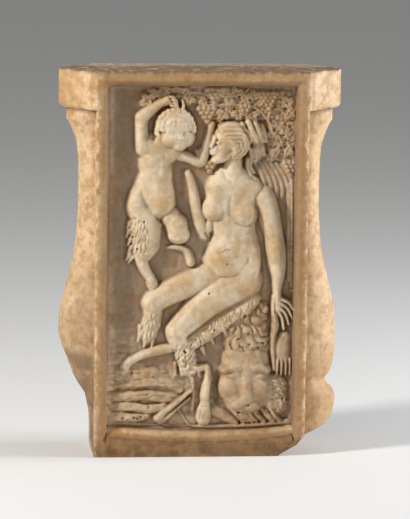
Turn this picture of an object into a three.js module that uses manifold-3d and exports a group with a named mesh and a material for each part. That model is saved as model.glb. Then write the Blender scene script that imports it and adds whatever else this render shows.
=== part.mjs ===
// A carved marble pier: a framed relief of a seated satyress and a child satyr on its front,
// a half baluster on each side and a polygonal slab across the top. It is one block of marble.
// Millimetres, +Z up. The origin is in the middle of the underside, and the relief faces -Y.

import * as THREE from 'three';
import * as BufferGeometryUtils from 'three/addons/utils/BufferGeometryUtils.js';
import Module from 'manifold-3d';

const wasm = await Module();
wasm.setup();

// ---------------------------------------------------------------- driving sizes

const HEIGHT = 560;
const PANEL_HALF = 153; // half the width of the framed front
const DEPTH = 116;
const FRONT = -DEPTH / 2;
const RECESS = 26; // how far the relief's ground lies behind the frame
const FRAME_SIDE = 11;
const FRAME_TOP = 15;
const FRAME_FOOT = 18;
const BEVEL = 7; // inner bevel of the frame, in width and in depth

const SLAB_HEIGHT = 57;
const SLAB_REACH = 50.5; // how far the top slab stands out past the panel on each side
const SLAB_CHAMFER = 50; // depth of its oblique faces

const WING_SETBACK = 8; // the wings start this far behind the frame
const ARC_STEPS = 12;

const GRID_COLUMNS = 128; // cells of the relief across
const GRID_ROWS = 256;
const SOFTENING = 2; // passes that ease the steepest steps, so that few facets can follow them
const CARVING_TOLERANCE = 1.5; // largest error of the faceted relief

// The relief's window inside the frame.
const LEFT = -(PANEL_HALF - FRAME_SIDE - BEVEL);
const RIGHT = -LEFT;
const BOTTOM = FRAME_FOOT;
const TOP = HEIGHT - FRAME_TOP - BEVEL;

// ---------------------------------------------------------------- solids

function solidFrom(geometry) {
  const bare = geometry.index ? geometry.toNonIndexed() : geometry.clone();
  bare.deleteAttribute('normal');
  bare.deleteAttribute('uv');
  const merged = BufferGeometryUtils.mergeVertices(bare, 1e-4);
  const mesh = new wasm.Mesh({
    numProp: 3,
    vertProperties: new Float32Array(merged.attributes.position.array),
    triVerts: new Uint32Array(merged.index.array),
  });
  return new wasm.Manifold(mesh);
}

function geometryFrom(solid) {
  const { vertProperties, triVerts } = solid.getMesh();
  const geometry = new THREE.BufferGeometry();
  geometry.setAttribute('position', new THREE.BufferAttribute(new Float32Array(vertProperties), 3));
  geometry.setIndex(new THREE.BufferAttribute(new Uint32Array(triVerts), 1));
  const faceted = geometry.toNonIndexed();
  faceted.computeVertexNormals();
  return faceted;
}

function meshFrom(points, faces) {
  const geometry = new THREE.BufferGeometry();
  geometry.setAttribute('position', new THREE.Float32BufferAttribute(points.flat(), 3));
  geometry.setIndex(faces.flat());
  return solidFrom(geometry);
}

function box(x0, x1, y0, y1, z0, z1) {
  const geometry = new THREE.BoxGeometry(x1 - x0, y1 - y0, z1 - z0);
  geometry.translate((x0 + x1) / 2, (y0 + y1) / 2, (z0 + z1) / 2);
  return solidFrom(geometry);
}

// A solid through rings of equal length, each anticlockwise seen from above, from the lowest up.
function loft(rings) {
  const count = rings[0].length;
  const points = rings.flat();
  const faces = [];
  for (let level = 0; level + 1 < rings.length; level++) {
    for (let i = 0; i < count; i++) {
      const a = level * count + i;
      const b = level * count + (i + 1) % count;
      faces.push([a, b, b + count], [a, b + count, a + count]);
    }
  }
  const top = (rings.length - 1) * count;
  for (let i = 1; i + 1 < count; i++) {
    faces.push([0, i + 1, i], [top, top + i, top + i + 1]);
  }
  return meshFrom(points, faces);
}

// ---------------------------------------------------------------- the block

// Half widths of the wings from the top slab down, as [height, half width].
const UPPER_WING = [
  [505, 193], [486, 193], [481, 189.5], [469, 184], [452, 178.5], [433, 176], [396, 175],
  [352, 175.5], [315, 178], [293, 181.5], [271, 186], [246, 192], [222, 198], [197, 202], [175, 203],
];
const RIGHT_WING = [
  [148, 202], [128, 199], [116, 195], [107, 188], [97, 192], [91, 199], [84, 202.5], [74, 203.4],
  [57, 201], [41, 192], [33, 180], [27, 166],
];
const BROKEN_WING = [
  [155, 197], [140, 192], [118, 183], [100, 173], [85, 163], [66, 159], [44, 156.5], [14, 154],
];

function wingRing(side, z, halfWidth) {
  const reach = halfWidth - PANEL_HALF;
  const waist = 0.4 * (203 - halfWidth);
  const halfDepth = (DEPTH / 2 - WING_SETBACK - waist) * Math.min(1, reach / 8);
  const ring = [];
  for (let i = 0; i <= ARC_STEPS; i++) {
    const angle = -Math.PI / 2 + Math.PI * i / ARC_STEPS;
    ring.push([PANEL_HALF - 1 + (reach + 1) * Math.cos(angle), halfDepth * Math.sin(angle), z]);
  }
  ring.push([PANEL_HALF - 20, halfDepth, z], [PANEL_HALF - 20, -halfDepth, z]);
  return side > 0 ? ring : ring.map(([x, y, height]) => [-x, y, height]).reverse();
}

function wing(side, lower) {
  const levels = [...UPPER_WING, ...lower].reverse();
  return loft(levels.map(([z, halfWidth]) => wingRing(side, z, halfWidth)));
}

function topSlab() {
  const outer = PANEL_HALF + SLAB_REACH;
  const side = FRONT + SLAB_CHAMFER;
  const worn = 5; // the lower outer corners are rubbed round
  const ring = (z, inset) => [
    [-PANEL_HALF, FRONT, z], [PANEL_HALF, FRONT, z],
    [outer - inset, side, z], [outer - inset, -side, z],
    [PANEL_HALF, -FRONT, z], [-PANEL_HALF, -FRONT, z],
    [inset - outer, -side, z], [inset - outer, side, z],
  ];
  return loft([
    ring(HEIGHT - SLAB_HEIGHT, worn), ring(HEIGHT - SLAB_HEIGHT + worn, 0), ring(HEIGHT, 0),
  ]);
}

function frameOpening() {
  const reach = 1; // the cutter starts this far in front of the block
  const rectangle = (y, grow) => [
    [LEFT - grow, y, BOTTOM], [RIGHT + grow, y, BOTTOM],
    [RIGHT + grow, y, TOP + grow], [LEFT - grow, y, TOP + grow],
  ];
  const points = [
    ...rectangle(FRONT - reach, BEVEL + reach), ...rectangle(FRONT + BEVEL, 0), ...rectangle(FRONT + RECESS, 0),
  ];
  const faces = [[0, 1, 2], [0, 2, 3], [8, 10, 9], [8, 11, 10]];
  for (const start of [0, 4]) {
    for (let i = 0; i < 4; i++) {
      const a = start + i;
      const b = start + (i + 1) % 4;
      faces.push([a, b + 4, b], [a, a + 4, b + 4]);
    }
  }
  return meshFrom(points, faces);
}

// The lower right corner has broken away in three flat facets.
function brokenCorner() {
  const shape = new THREE.Shape();
  shape.moveTo(PANEL_HALF + 20, 27);
  shape.lineTo(PANEL_HALF - 3, 27);
  shape.lineTo(PANEL_HALF - 12, 16);
  shape.lineTo(PANEL_HALF - 36, 2.5);
  shape.lineTo(PANEL_HALF - 44, -5);
  shape.lineTo(PANEL_HALF + 20, -5);
  shape.closePath();
  const geometry = new THREE.ExtrudeGeometry(shape, { depth: DEPTH + 10, bevelEnabled: false });
  geometry.rotateX(Math.PI / 2);
  geometry.translate(0, DEPTH / 2 + 5, 0);
  return solidFrom(geometry);
}

function chip(x, y, z, sizes) {
  const geometry = new THREE.IcosahedronGeometry(1, 1);
  geometry.scale(...sizes);
  geometry.translate(x, y, z);
  return solidFrom(geometry);
}

// ---------------------------------------------------------------- forms of the relief
// Each form gives its height above the ground at a place (x, z). A point is [x, z, height]: where
// the form's middle lies and how high it stands. Its sides fall away to the base at its outline.

const clamp = (value, low, high) => Math.min(high, Math.max(low, value));
const mix = (a, b, t) => a + (b - a) * t;
const turned = (degrees) => [Math.cos(degrees * Math.PI / 180), Math.sin(degrees * Math.PI / 180)];
const NOTHING = -60;

function swell(outwards, crest, base) {
  return Math.max(NOTHING, crest - (crest - base) * outwards ** 3);
}

// A rounded limb that tapers from one joint to the next.
function limb([ax, az, ah], [bx, bz, bh], ra, rb, base = 0) {
  const dx = bx - ax;
  const dz = bz - az;
  const square = dx * dx + dz * dz || 1;
  return (x, z) => {
    const t = clamp(((x - ax) * dx + (z - az) * dz) / square, 0, 1);
    const outwards = Math.hypot(x - ax - t * dx, z - az - t * dz) / mix(ra, rb, t);
    return swell(outwards, mix(ah, bh, t), base);
  };
}

// An oval boss, turned anticlockwise by some degrees.
function boss([cx, cz, crest], rx, rz, turn = 0, base = 0) {
  const [c, s] = turned(turn);
  return (x, z) => {
    const u = ((x - cx) * c + (z - cz) * s) / rx;
    const v = ((z - cz) * c - (x - cx) * s) / rz;
    return swell(Math.hypot(u, v), crest, base);
  };
}

// Limbs through a row of joints, with one radius for each.
function chain(joints, radii, base) {
  return joints.slice(1).map((joint, i) => limb(joints[i], joint, radii[i], radii[i + 1], base));
}

// Forms that flow into each other over a blend of some millimetres.
function flesh(blend, forms) {
  return (x, z) => forms.reduce((height, form) => {
    const other = form(x, z);
    const overlap = Math.max(blend - Math.abs(height - other), 0);
    return Math.max(height, other) + overlap * overlap / (4 * blend);
  }, NOTHING);
}

function distanceTo(points, x, z) {
  let nearest = Infinity;
  for (let i = 0; i + 1 < points.length; i++) {
    const [ax, az] = points[i];
    const dx = points[i + 1][0] - ax;
    const dz = points[i + 1][1] - az;
    const t = clamp(((x - ax) * dx + (z - az) * dz) / (dx * dx + dz * dz), 0, 1);
    nearest = Math.min(nearest, Math.hypot(x - ax - t * dx, z - az - t * dz));
  }
  return nearest;
}

// A groove along a curve through some places.
function groove(places, width, depth) {
  const curve = new THREE.SplineCurve(places.map(([x, z]) => new THREE.Vector2(x, z)));
  const points = curve.getPoints(places.length * 4).map((point) => [point.x, point.y]);
  return (x, z) => {
    const distance = distanceTo(points, x, z) / width;
    return distance > 3 ? 0 : depth * Math.exp(-distance * distance);
  };
}

// A row of pointed locks of fur or hair, fanned from the first angle to the last.
function locks(from, to, count, length, angles, crests, width) {
  const forms = [];
  for (let i = 0; i < count; i++) {
    const t = (i + 0.5) / count;
    const [c, s] = turned(mix(...angles, t));
    const root = [mix(from[0], to[0], t), mix(from[1], to[1], t), mix(...crests, t)];
    const reach = length * (i % 2 ? 1 : 0.82);
    const tip = [root[0] + reach * c, root[1] + reach * s, root[2] - 1.5];
    forms.push(limb(root, tip, width, 0.35 * width, root[2] - 6));
  }
  return forms;
}

// A bunch of grapes: berries packed in a drooping triangle.
function grapes([cx, cz, crest], rows, berry, lean = 0) {
  const forms = [];
  for (let row = 0; row < rows; row++) {
    for (let i = 0; i <= rows - 1 - row; i++) {
      const x = cx + (i - (rows - 1 - row) / 2) * 1.7 * berry + lean * row;
      const z = cz - row * 1.5 * berry;
      forms.push(boss([x, z, crest + (i % 2)], berry, berry, 0, crest - 5));
    }
  }
  return forms;
}

// A vine leaf: five lobes about its stalk end.
function leaf([cx, cz, crest], size, turn) {
  const forms = [];
  for (let lobe = -2; lobe <= 2; lobe++) {
    const [c, s] = turned(turn + lobe * 42);
    const reach = size * (1 - 0.12 * Math.abs(lobe));
    const middle = [cx + 0.55 * reach * c, cz + 0.55 * reach * s, crest];
    forms.push(boss(middle, 0.5 * reach, 0.26 * size, turn + lobe * 42, crest - 5));
  }
  return flesh(1.5, forms);
}

// ---------------------------------------------------------------- child satyr

const childHead = [-40, 472];

function child() {
  const trunk = flesh(10, [
    boss([-60, 416, 17], 24, 28),
    boss([-64, 390, 18], 27, 28),
    boss([-62, 372, 22], 27, 26, 0, 4),
    boss([-84, 376, 17], 20, 30, -8),
    limb([-50, 426, 14], [-44, 446, 14], 13, 12),
    limb([-78, 434, 14], [-30, 436, 13], 13, 10),
    limb([-80, 358, 19], [-86, 300, 15], 29, 16),
    boss([-72, 340, 18], 22, 32, 10),
  ]);
  const raisedArm = flesh(6, [
    ...chain([[-80, 432, 15], [-90, 488, 15], [-56, 516, 14]], [14, 10.5, 7.5]),
    boss([-50, 520, 15], 9, 8),
  ]);
  const farArm = flesh(5, chain([[-28, 436, 13], [0, 424, 13], [7, 462, 10], [8, 488, 8]], [10, 9, 7, 5.5]));
  const shin = flesh(5, [
    ...chain([[-84, 292, 14], [-79, 278, 13], [-66, 257, 12]], [13, 9, 7.5]),
    limb([-66, 258, 13], [-71, 247, 13], 8, 9.5),
  ]);
  const farThigh = flesh(8, [boss([-37, 329, 21], 19, 22, 8, 2), boss([-31, 316, 20], 15, 14, 0, 4)]);
  const farShin = flesh(3, [
    ...chain([[-48, 301, 8], [-34, 306, 9], [-20, 303, 10], [-10, 289, 11]], [4, 6, 7, 8]),
    boss([-15, 281, 12], 9, 7, -20),
  ]);
  const [hx, hz] = childHead;
  const head = flesh(6, [boss([hx, hz, 24.5], 25, 28, 8), boss([hx + 6, hz - 14, 23], 18, 17, 0, 4)]);
  const face = flesh(3, [
    limb([hx + 7, hz - 3, 25], [hx + 9, hz - 11, 26], 3.4, 4.4, 18),
    boss([hx + 8, hz - 19, 23.5], 6, 4, 0, 18),
    boss([hx - 4, hz - 13, 24], 9, 9, 0, 19),
    boss([hx + 17, hz - 12, 22], 7, 8, 0, 16),
    boss([hx + 7, hz - 25, 22.5], 7, 5, 0, 17),
    limb([hx - 9, hz - 1, 24], [hx + 2, hz - 1, 25], 2.4, 2.4, 19),
    limb([hx + 12, hz - 1, 24], [hx + 20, hz - 1, 21], 2.4, 2.2, 17),
  ]);
  const curls = [];
  for (let ring = 0; ring < 3; ring++) {
    const count = 8 - ring;
    for (let i = 0; i < count; i++) {
      const [c, s] = turned(mix(6, 178, (i + 0.5 * (ring % 2)) / (count - 1)));
      const reach = 23 - 7 * ring;
      const place = [hx - 1 + reach * c, hz + 4 + (reach + 2) * s, 20 + 2.7 * ring];
      curls.push(boss(place, 5.6, 5, i * 40, 13 + 2.5 * ring));
    }
  }
  const horns = [
    limb([hx - 3, hz + 27, 15], [hx - 5, hz + 44, 12], 4.4, 2.4),
    limb([hx + 7, hz + 27, 15], [hx + 10, hz + 42, 12], 4.4, 2.4),
  ];
  const fur = [
    ...locks([-106, 338], [-88, 342], 3, 14, [245, 275], [14, 20], 5.4),
    ...locks([-106, 318], [-82, 322], 4, 14, [240, 280], [13, 20], 5.4),
    ...locks([-102, 300], [-82, 304], 3, 15, [230, 270], [13, 18], 5),
  ];
  return [trunk, raisedArm, farArm, shin, farThigh, farShin, head, face, ...curls, ...horns, ...fur];
}

// ---------------------------------------------------------------- satyress

const HEAD_TILT = 8; // she looks a little upwards
const headMiddle = [38, 453];

// A place on her head, from millimetres forward of its middle and above it.
function onHead(forward, up, height) {
  const [c, s] = turned(HEAD_TILT);
  return [headMiddle[0] - forward * c + up * s, headMiddle[1] + forward * s + up * c, height];
}

function satyressHead() {
  const skull = flesh(7, [
    boss(onHead(-6, 6, 23), 26, 25, -HEAD_TILT),
    boss(onHead(10, 8, 21), 17, 19, -HEAD_TILT),
    boss(onHead(9, -9, 22), 16, 19, -HEAD_TILT),
    limb(onHead(17, -25, 20), onHead(-4, -16, 21), 8, 10),
    limb(onHead(21, 4, 20), onHead(27, -7, 19), 4, 5),
    boss(onHead(23, -14, 19), 5, 4),
    boss(onHead(22, -19, 19), 5, 4),
    boss(onHead(18, -27, 20), 8, 7),
  ]);
  const ear = boss(onHead(-9, -5, 25), 5.4, 8, 20, 20);
  const brow = limb(onHead(22, 6, 20), onHead(10, 7, 23), 2.4, 3, 18);
  const eye = boss(onHead(15, 0.5, 22.5), 5, 3, -HEAD_TILT, 20);
  const hair = [];
  for (let strand = 0; strand < 9; strand++) {
    const [c, s] = turned(mix(62, 196, strand / 8));
    const [tc, ts] = turned(mix(76, 210, strand / 8));
    const near = onHead(-8 + 9 * c, 7 + 9 * s, 25);
    hair.push(limb(near, onHead(-8 + 25 * tc, 6 + 23 * ts, 19), 5, 5, 12));
  }
  const knot = [];
  for (let strand = 0; strand < 5; strand++) {
    const near = [62 + 5 * strand, 485 - 2.5 * strand, 18];
    knot.push(limb(near, [74 + 4.4 * strand, 452 + 2 * strand, 16], 4, 3, 6));
  }
  return [skull, ear, brow, eye, ...hair, ...knot];
}

function satyressBody() {
  const torso = flesh(9, [
    limb([48, 372, 19], [50, 322, 18.5], 36, 33),
    limb([22, 384, 15], [82, 386, 18], 16, 17),
    limb([46, 430, 17], [48, 398, 18], 12, 15),
    boss([50, 290, 22.5], 42, 40),
    boss([36, 272, 21.5], 27, 20, -12, 4),
  ]);
  const bosom = [boss([17, 357, 23], 15, 15, 0, 10), boss([63, 354, 24.5], 18, 17, 0, 14)];
  const nearArm = flesh(6, [
    boss([87, 380, 21], 18, 20),
    ...chain([[92, 368, 21], [103, 318, 20.5], [115, 244, 18], [118, 222, 16]], [17, 15, 9, 9.5]),
  ]);
  const fingers = [[134, 203], [130, 194], [123, 187], [115, 190]].map(([x, z], i) => limb(
    [123 - 3.4 * i, 218 - 2 * i, 16], [x, z, 12], 3.2, 2.2));
  fingers.push(limb([112, 226, 15], [107, 206, 13], 3.6, 2.4));
  const farArm = flesh(4, chain([[12, 378, 10], [7, 320, 9], [-12, 390, 7], [-18, 412, 7]], [10, 10, 9, 7.5]));
  return [flesh(4, [torso, ...bosom]), nearArm, ...fingers, farArm];
}

function satyressLegs() {
  const nearThigh = flesh(8, [
    limb([66, 254, 24], [-28, 186, 24], 37, 25),
    boss([78, 268, 22], 25, 32),
    limb([-34, 178, 23], [-12, 154, 18], 21, 18),
  ]);
  const farThigh = flesh(8, [
    limb([16, 260, 16], [-62, 231, 18], 26, 19),
    boss([-67, 228, 18.5], 18, 18),
    limb([-73, 220, 17], [-76, 186, 12], 18, 17),
  ]);
  const nearShin = flesh(5, [
    ...chain([[-8, 150, 18], [12, 132, 15], [15, 120, 14], [9, 84, 14]], [18, 11, 9, 8]),
    limb([9, 84, 15], [5, 63, 15], 9, 13),
  ]);
  const farShin = flesh(5, [
    ...chain([[-74, 188, 11], [-46, 156, 9]], [15, 9]),
    ...chain([[-44, 154, 11], [-80, 148, 11], [-104, 140, 11]], [10, 8, 8]),
    limb([-104, 140, 11], [-110, 125, 11], 8.5, 10.5),
  ]);
  const fringe = [
    ...locks([92, 230], [16, 172], 10, 15, [255, 225], [20, 19], 5.4),
    ...locks([-44, 166], [2, 154], 5, 16, [255, 285], [22, 18], 5.6),
    ...locks([-46, 148], [0, 136], 5, 16, [255, 290], [18, 15], 5.6),
    ...locks([-92, 202], [-62, 200], 4, 16, [250, 275], [15, 17], 5.4),
    ...locks([-92, 184], [-62, 180], 4, 17, [250, 275], [13, 14], 5.4),
  ];
  return [farThigh, farShin, nearShin, nearThigh, ...fringe];
}

// ---------------------------------------------------------------- lion skin and rocks

const MASK_AXIS = 67; // the mask looks straight out, even about this line

function lionSkin() {
  const seat = flesh(10, [boss([72, 190, 15], 44, 44), boss([70, 112, 15.5], 44, 62)]);
  const mane = [
    ...locks([44, 204], [104, 222], 6, 18, [262, 278], [16.5, 16.5], 6.4),
    ...locks([38, 184], [106, 202], 7, 18, [262, 278], [17.5, 16.5], 6.4),
    ...locks([36, 164], [108, 176], 7, 17, [255, 285], [17.5, 16.5], 6.4),
    ...locks([112, 96], [116, 58], 4, 18, [350, 320], [12, 12], 5.6),
  ];
  const mask = [
    limb([MASK_AXIS, 134, 20], [MASK_AXIS, 90, 22], 9, 11, 12),
    boss([MASK_AXIS, 80, 23], 14, 9, 0, 13),
  ];
  for (const side of [-1, 1]) {
    mask.push(
      limb([MASK_AXIS + side * 12, 130, 20], [MASK_AXIS + side * 32, 129, 18], 5.5, 4.5, 13),
      boss([MASK_AXIS + side * 22, 119, 18], 8, 5, 0, 14),
      boss([MASK_AXIS + side * 22, 100, 18], 15, 15, 0, 12),
      boss([MASK_AXIS + side * 11, 68, 21], 13, 10, 0, 8),
      boss([MASK_AXIS + side * 38, 138, 16], 7, 10, side * -20, 8),
    );
  }
  const hangingPaw = [flesh(4, chain([[108, 214, 15], [122, 176, 15], [125, 134, 14]], [12, 11, 10]))];
  const paws = [flesh(4, chain([[30, 66, 10], [52, 52, 12]], [11, 10]))];
  for (let toe = 0; toe < 4; toe++) {
    hangingPaw.push(limb([117 + 5 * toe, 130, 15], [117.5 + 5 * toe, 108, 12], 3, 2.4));
  }
  for (let toe = 0; toe < 5; toe++) {
    paws.push(limb([54 + 7 * toe, 64, 14], [63 + 7 * toe, 46, 11], 3.6, 2.4));
    paws.push(limb([96 + 6.5 * toe, 62 - toe, 13], [107 + 6.5 * toe, 45 + toe, 10], 3.4, 2.4));
  }
  return [seat, ...mane, flesh(3, mask), ...hangingPaw, ...paws];
}

function rocks() {
  const forms = [];
  const bands = [
    [[-124, 108], [-84, 113], [-44, 105], 10, 9],
    [[-126, 92], [-90, 90], [-34, 92], 12, 12],
    [[-126, 73], [-96, 77], [-48, 71], 12, 13],
    [[-124, 55], [-98, 54], [-62, 52], 13, 15],
  ];
  for (const [a, b, c, radius, crest] of bands) {
    const joints = [[...a, crest], [...b, crest + 2], [...c, crest - 2]];
    forms.push(flesh(3, chain(joints, [radius, radius + 2, radius - 1])));
  }
  forms.push(limb([-22, 62, 9], [-8, 46, 11], 17, 10), limb([24, 64, 9], [46, 46, 10], 9, 7));
  // A double pipe lies on the rocks.
  forms.push(limb([-14, 92, 17], [-66, 51, 18], 4.2, 5.4), limb([-20, 80, 15], [-62, 46, 16], 3.8, 5));
  return forms;
}

// ---------------------------------------------------------------- foliage and thyrsus

function stem(places, crest, radius) {
  return flesh(1.5, chain(places.map(([x, z]) => [x, z, crest]), places.map(() => radius)));
}

function foliage() {
  const forms = [
    stem([[-80, 512], [-52, 527], [-4, 527], [36, 520], [62, 528]], 5, 3.4),
    stem([[18, 503], [47, 509], [74, 506], [98, 489], [106, 468], [104, 448]], 6, 3.6),
    stem([[130, 522], [112, 500], [108, 484]], 5, 3.4),
    ...grapes([13, 527, 9], 4, 4.8),
    ...grapes([106, 520, 9], 4, 4.8, 1),
    ...grapes([12, 500, 10], 4, 4.4, 1),
    ...grapes([12, 424, 9], 3, 4.2),
    ...grapes([128, 424, 9], 4, 4.4, 0.5),
  ];
  const leaves = [
    [-72, 516, 15, 200], [-62, 524, 13, 120], [-28, 524, 12, 60], [-14, 516, 13, 250], [32, 524, 14, 80],
    [44, 514, 14, 300], [60, 518, 15, 40], [78, 522, 14, 100], [86, 508, 13, 330], [30, 498, 13, 240],
    [52, 500, 13, 280], [72, 494, 13, 300], [88, 486, 12, 250], [124, 506, 14, 30], [120, 488, 13, 320],
    [128, 470, 13, 60], [112, 462, 12, 200], [122, 448, 12, 330], [108, 434, 13, 150], [-2, 436, 10, 160],
    [22, 478, 10, 260],
  ];
  for (const [x, z, size, turn] of leaves) forms.push(leaf([x, z, 7.5], size, turn));
  // Folds of cloth blown out behind her shoulder.
  for (let fold = 0; fold < 4; fold++) {
    const joints = [
      [84 + 9 * fold, 426 - 3 * fold, 8], [104 + 7 * fold, 404 - 2 * fold, 9], [112 + 5 * fold, 378, 7],
    ];
    forms.push(flesh(2, chain(joints, [5, 5.4, 4])));
  }
  return forms;
}

function thyrsus() {
  return [
    limb([131, 392, 8], [133, 246, 8], 4, 4),
    boss([132, 309, 9], 7, 4), boss([133, 300, 9], 6, 3.4), boss([134, 240, 9], 8, 4.4),
    limb([134, 236, 9], [134, 206, 9], 7, 8),
  ];
}

// ---------------------------------------------------------------- the whole relief

const figures = [
  ...rocks(), ...foliage(), ...thyrsus(), ...lionSkin(), ...satyressBody(), ...satyressLegs(),
  ...satyressHead(), ...child(),
];

const grooves = [
  groove([[-74, 356], [-64, 346], [-56, 342], [-46, 349], [-37, 362]], 2.6, 4),
  groove([[-64, 424], [-63, 410], [-66, 400]], 3, 1.6),
  groove([[20, 303], [32, 299], [46, 298]], 2, 2.2),
  groove([[16, 262], [30, 256], [46, 262]], 2.6, 3.5),
  groove([[72, 482], [68, 468], [78, 444], [88, 424]], 6, 4),
  groove([[28, 124], [27, 100], [29, 70]], 3.4, 9),
  groove([[-70, 484], [-67, 466], [-67, 450]], 3.4, 7),
];

// The ledge that she and the rocks stand on swells forward to the frame's lower face.
function ledge(x, z) {
  const sag = (x / RIGHT) ** 2;
  const lip = 37 + 8 * sag;
  const foot = 20 + 10 * sag;
  if (z < foot) return RECESS;
  if (z < lip) return mix(RECESS - 6, RECESS - 15, (z - foot) / (lip - foot));
  return z < lip + 6 ? 14 - 1.2 * (z - lip) : 0;
}

// The ground turns up softly into the frame all round.
function ground(x, z) {
  const edge = Math.min(x - LEFT, RIGHT - x, TOP - z);
  return 6 * Math.max(0, 1 - edge / 9) ** 2;
}

function reliefHeight(x, z) {
  let height = Math.max(ground(x, z), ledge(x, z));
  const lip = 37 + 8 * (x / RIGHT) ** 2;
  if (z >= lip - 1) {
    for (const form of figures) height = Math.max(height, form(x, z));
    for (const cut of grooves) height -= cut(x, z);
  }
  return clamp(height, 0, RECESS - 0.4);
}

// ---------------------------------------------------------------- facets
// The relief is sampled on a grid and split into right triangles, each halved at the middle of its
// long side for as long as the middle lies too far off the carving. Neighbours share every such
// middle, so the surface has no gaps.

// Faces and hands are cut closely, leaves, rocks and mane more broadly.
function importance(x, z) {
  const atHead = Math.min(
    Math.hypot(x - childHead[0], z - childHead[1]), Math.hypot(x - headMiddle[0], z - headMiddle[1]));
  if (atHead < 34) return 1.3;
  const behind = z > 482 || (x > 96 && z > 372) || (z < 118 && x < 112) || (x > 34 && z < 228);
  return behind ? 0.5 : 1;
}

function soften(heights, stride) {
  const before = heights.slice();
  for (let k = 1; k < GRID_ROWS; k++) {
    for (let i = 1; i < GRID_COLUMNS; i++) {
      const v = k * stride + i;
      const beside = before[v - 1] + before[v + 1] + before[v - stride] + before[v + stride];
      heights[v] = before[v] / 3 + beside / 6;
    }
  }
}

function reliefSolid() {
  const stride = GRID_COLUMNS + 1;
  const placeX = (i) => mix(LEFT - 0.5, RIGHT + 0.5, i / GRID_COLUMNS);
  const placeZ = (k) => mix(BOTTOM - 0.5, TOP + 0.5, k / GRID_ROWS);
  const heights = new Float64Array(stride * (GRID_ROWS + 1));
  for (let k = 0; k <= GRID_ROWS; k++) {
    for (let i = 0; i <= GRID_COLUMNS; i++) {
      heights[k * stride + i] = reliefHeight(placeX(i), placeZ(k));
    }
  }
  for (let pass = 0; pass < SOFTENING; pass++) soften(heights, stride);
  const middle = (a, b) => (a + b) / 2;
  // A triangle is [a, b, c]: the ends of its long side, then its square corner.
  const halves = ([a, b, c]) => [[c, a, middle(a, b)], [b, c, middle(a, b)]];
  const canSplit = ([a, b]) => {
    const columns = Math.abs(a % stride - b % stride);
    const rows = Math.abs(Math.floor(a / stride) - Math.floor(b / stride));
    return columns % 2 === 0 && rows % 2 === 0;
  };
  const corner = (i, k) => k * GRID_COLUMNS * stride + i * GRID_COLUMNS;
  const roots = [];
  for (let square = 0; square < GRID_ROWS / GRID_COLUMNS; square++) {
    const [sw, se] = [corner(0, square), corner(1, square)];
    const [nw, ne] = [corner(0, square + 1), corner(1, square + 1)];
    roots.push([se, nw, sw], [nw, se, ne]);
  }
  const levels = [roots];
  while (canSplit(levels.at(-1)[0])) levels.push(levels.at(-1).flatMap(halves));
  const error = new Float64Array(heights.length);
  for (const triangles of levels.slice(0, -1).reverse()) {
    for (const triangle of triangles) {
      const [a, b] = triangle;
      const m = middle(a, b);
      const own = Math.abs(heights[m] - middle(heights[a], heights[b]));
      const below = halves(triangle).map((half) => (canSplit(half) ? error[middle(half[0], half[1])] : 0));
      error[m] = Math.max(error[m], own * importance(placeX(m % stride), placeZ(Math.floor(m / stride))), ...below);
    }
  }
  const faces = [];
  const split = (triangle) => {
    const m = middle(triangle[0], triangle[1]);
    if (canSplit(triangle) && error[m] > CARVING_TOLERANCE) halves(triangle).forEach(split);
    else faces.push(triangle);
  };
  roots.forEach(split);

  const points = [];
  const numbers = new Map();
  const number = (key, point) => {
    if (!numbers.has(key)) {
      numbers.set(key, points.length);
      points.push(point);
    }
    return numbers.get(key);
  };
  const back = FRONT + RECESS + 4;
  const surface = (v) => {
    const x = placeX(v % stride);
    const z = placeZ(Math.floor(v / stride));
    return number(`s${v}`, [x, FRONT + RECESS - heights[v], z]);
  };
  const base = (v) => number(`b${v}`, [placeX(v % stride), back, placeZ(Math.floor(v / stride))]);
  const centre = number('centre', [0, back, (BOTTOM + TOP) / 2]);
  const skin = faces.map((face) => face.map(surface));
  const edges = new Map();
  for (const [a, b, c] of faces) {
    for (const [p, q] of [[a, b], [b, c], [c, a]]) edges.set(`${p},${q}`, [p, q]);
  }
  const closing = [];
  for (const [p, q] of edges.values()) {
    if (edges.has(`${q},${p}`)) continue;
    closing.push([surface(q), surface(p), base(p)], [surface(q), base(p), base(q)], [base(q), base(p), centre]);
  }
  return meshFrom(points, [...skin, ...closing]);
}

// ---------------------------------------------------------------- assembly

let block = box(-PANEL_HALF, PANEL_HALF, FRONT, -FRONT, 0, HEIGHT);
block = block.add(topSlab()).add(wing(1, RIGHT_WING)).add(wing(-1, BROKEN_WING));
block = block.subtract(frameOpening()).add(reliefSolid());
block = block.subtract(brokenCorner()).subtract(chip(PANEL_HALF + 1, FRONT - 1, 455, [6, 4, 9]));

const marble = new THREE.MeshStandardMaterial({ color: 0xd8c19a, roughness: 0.62, metalness: 0 });
const reliefPier = new THREE.Mesh(geometryFrom(block), marble);
reliefPier.name = 'relief_pier';

const pier = new THREE.Group();
pier.add(reliefPier);

export default pier;
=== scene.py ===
import math

import bpy
import numpy as np
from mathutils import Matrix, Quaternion, Vector


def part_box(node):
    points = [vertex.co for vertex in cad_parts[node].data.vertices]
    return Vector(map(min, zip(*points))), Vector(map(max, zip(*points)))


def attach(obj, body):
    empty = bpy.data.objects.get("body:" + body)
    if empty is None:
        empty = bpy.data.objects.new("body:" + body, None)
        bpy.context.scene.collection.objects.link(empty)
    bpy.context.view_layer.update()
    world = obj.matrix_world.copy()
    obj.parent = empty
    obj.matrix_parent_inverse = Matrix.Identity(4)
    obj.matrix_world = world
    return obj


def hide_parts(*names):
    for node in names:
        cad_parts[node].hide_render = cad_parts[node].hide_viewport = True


bl_info = {
    "name": "Carved marble pier",
    "version": (1, 0, 0),
    "blender": (4, 5, 0),
    "location": "View3D > Sidebar > Marble pier",
    "description": "Carves, finishes and lights a marble pier with a figure relief on its front",
    "category": "Object",
}

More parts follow.
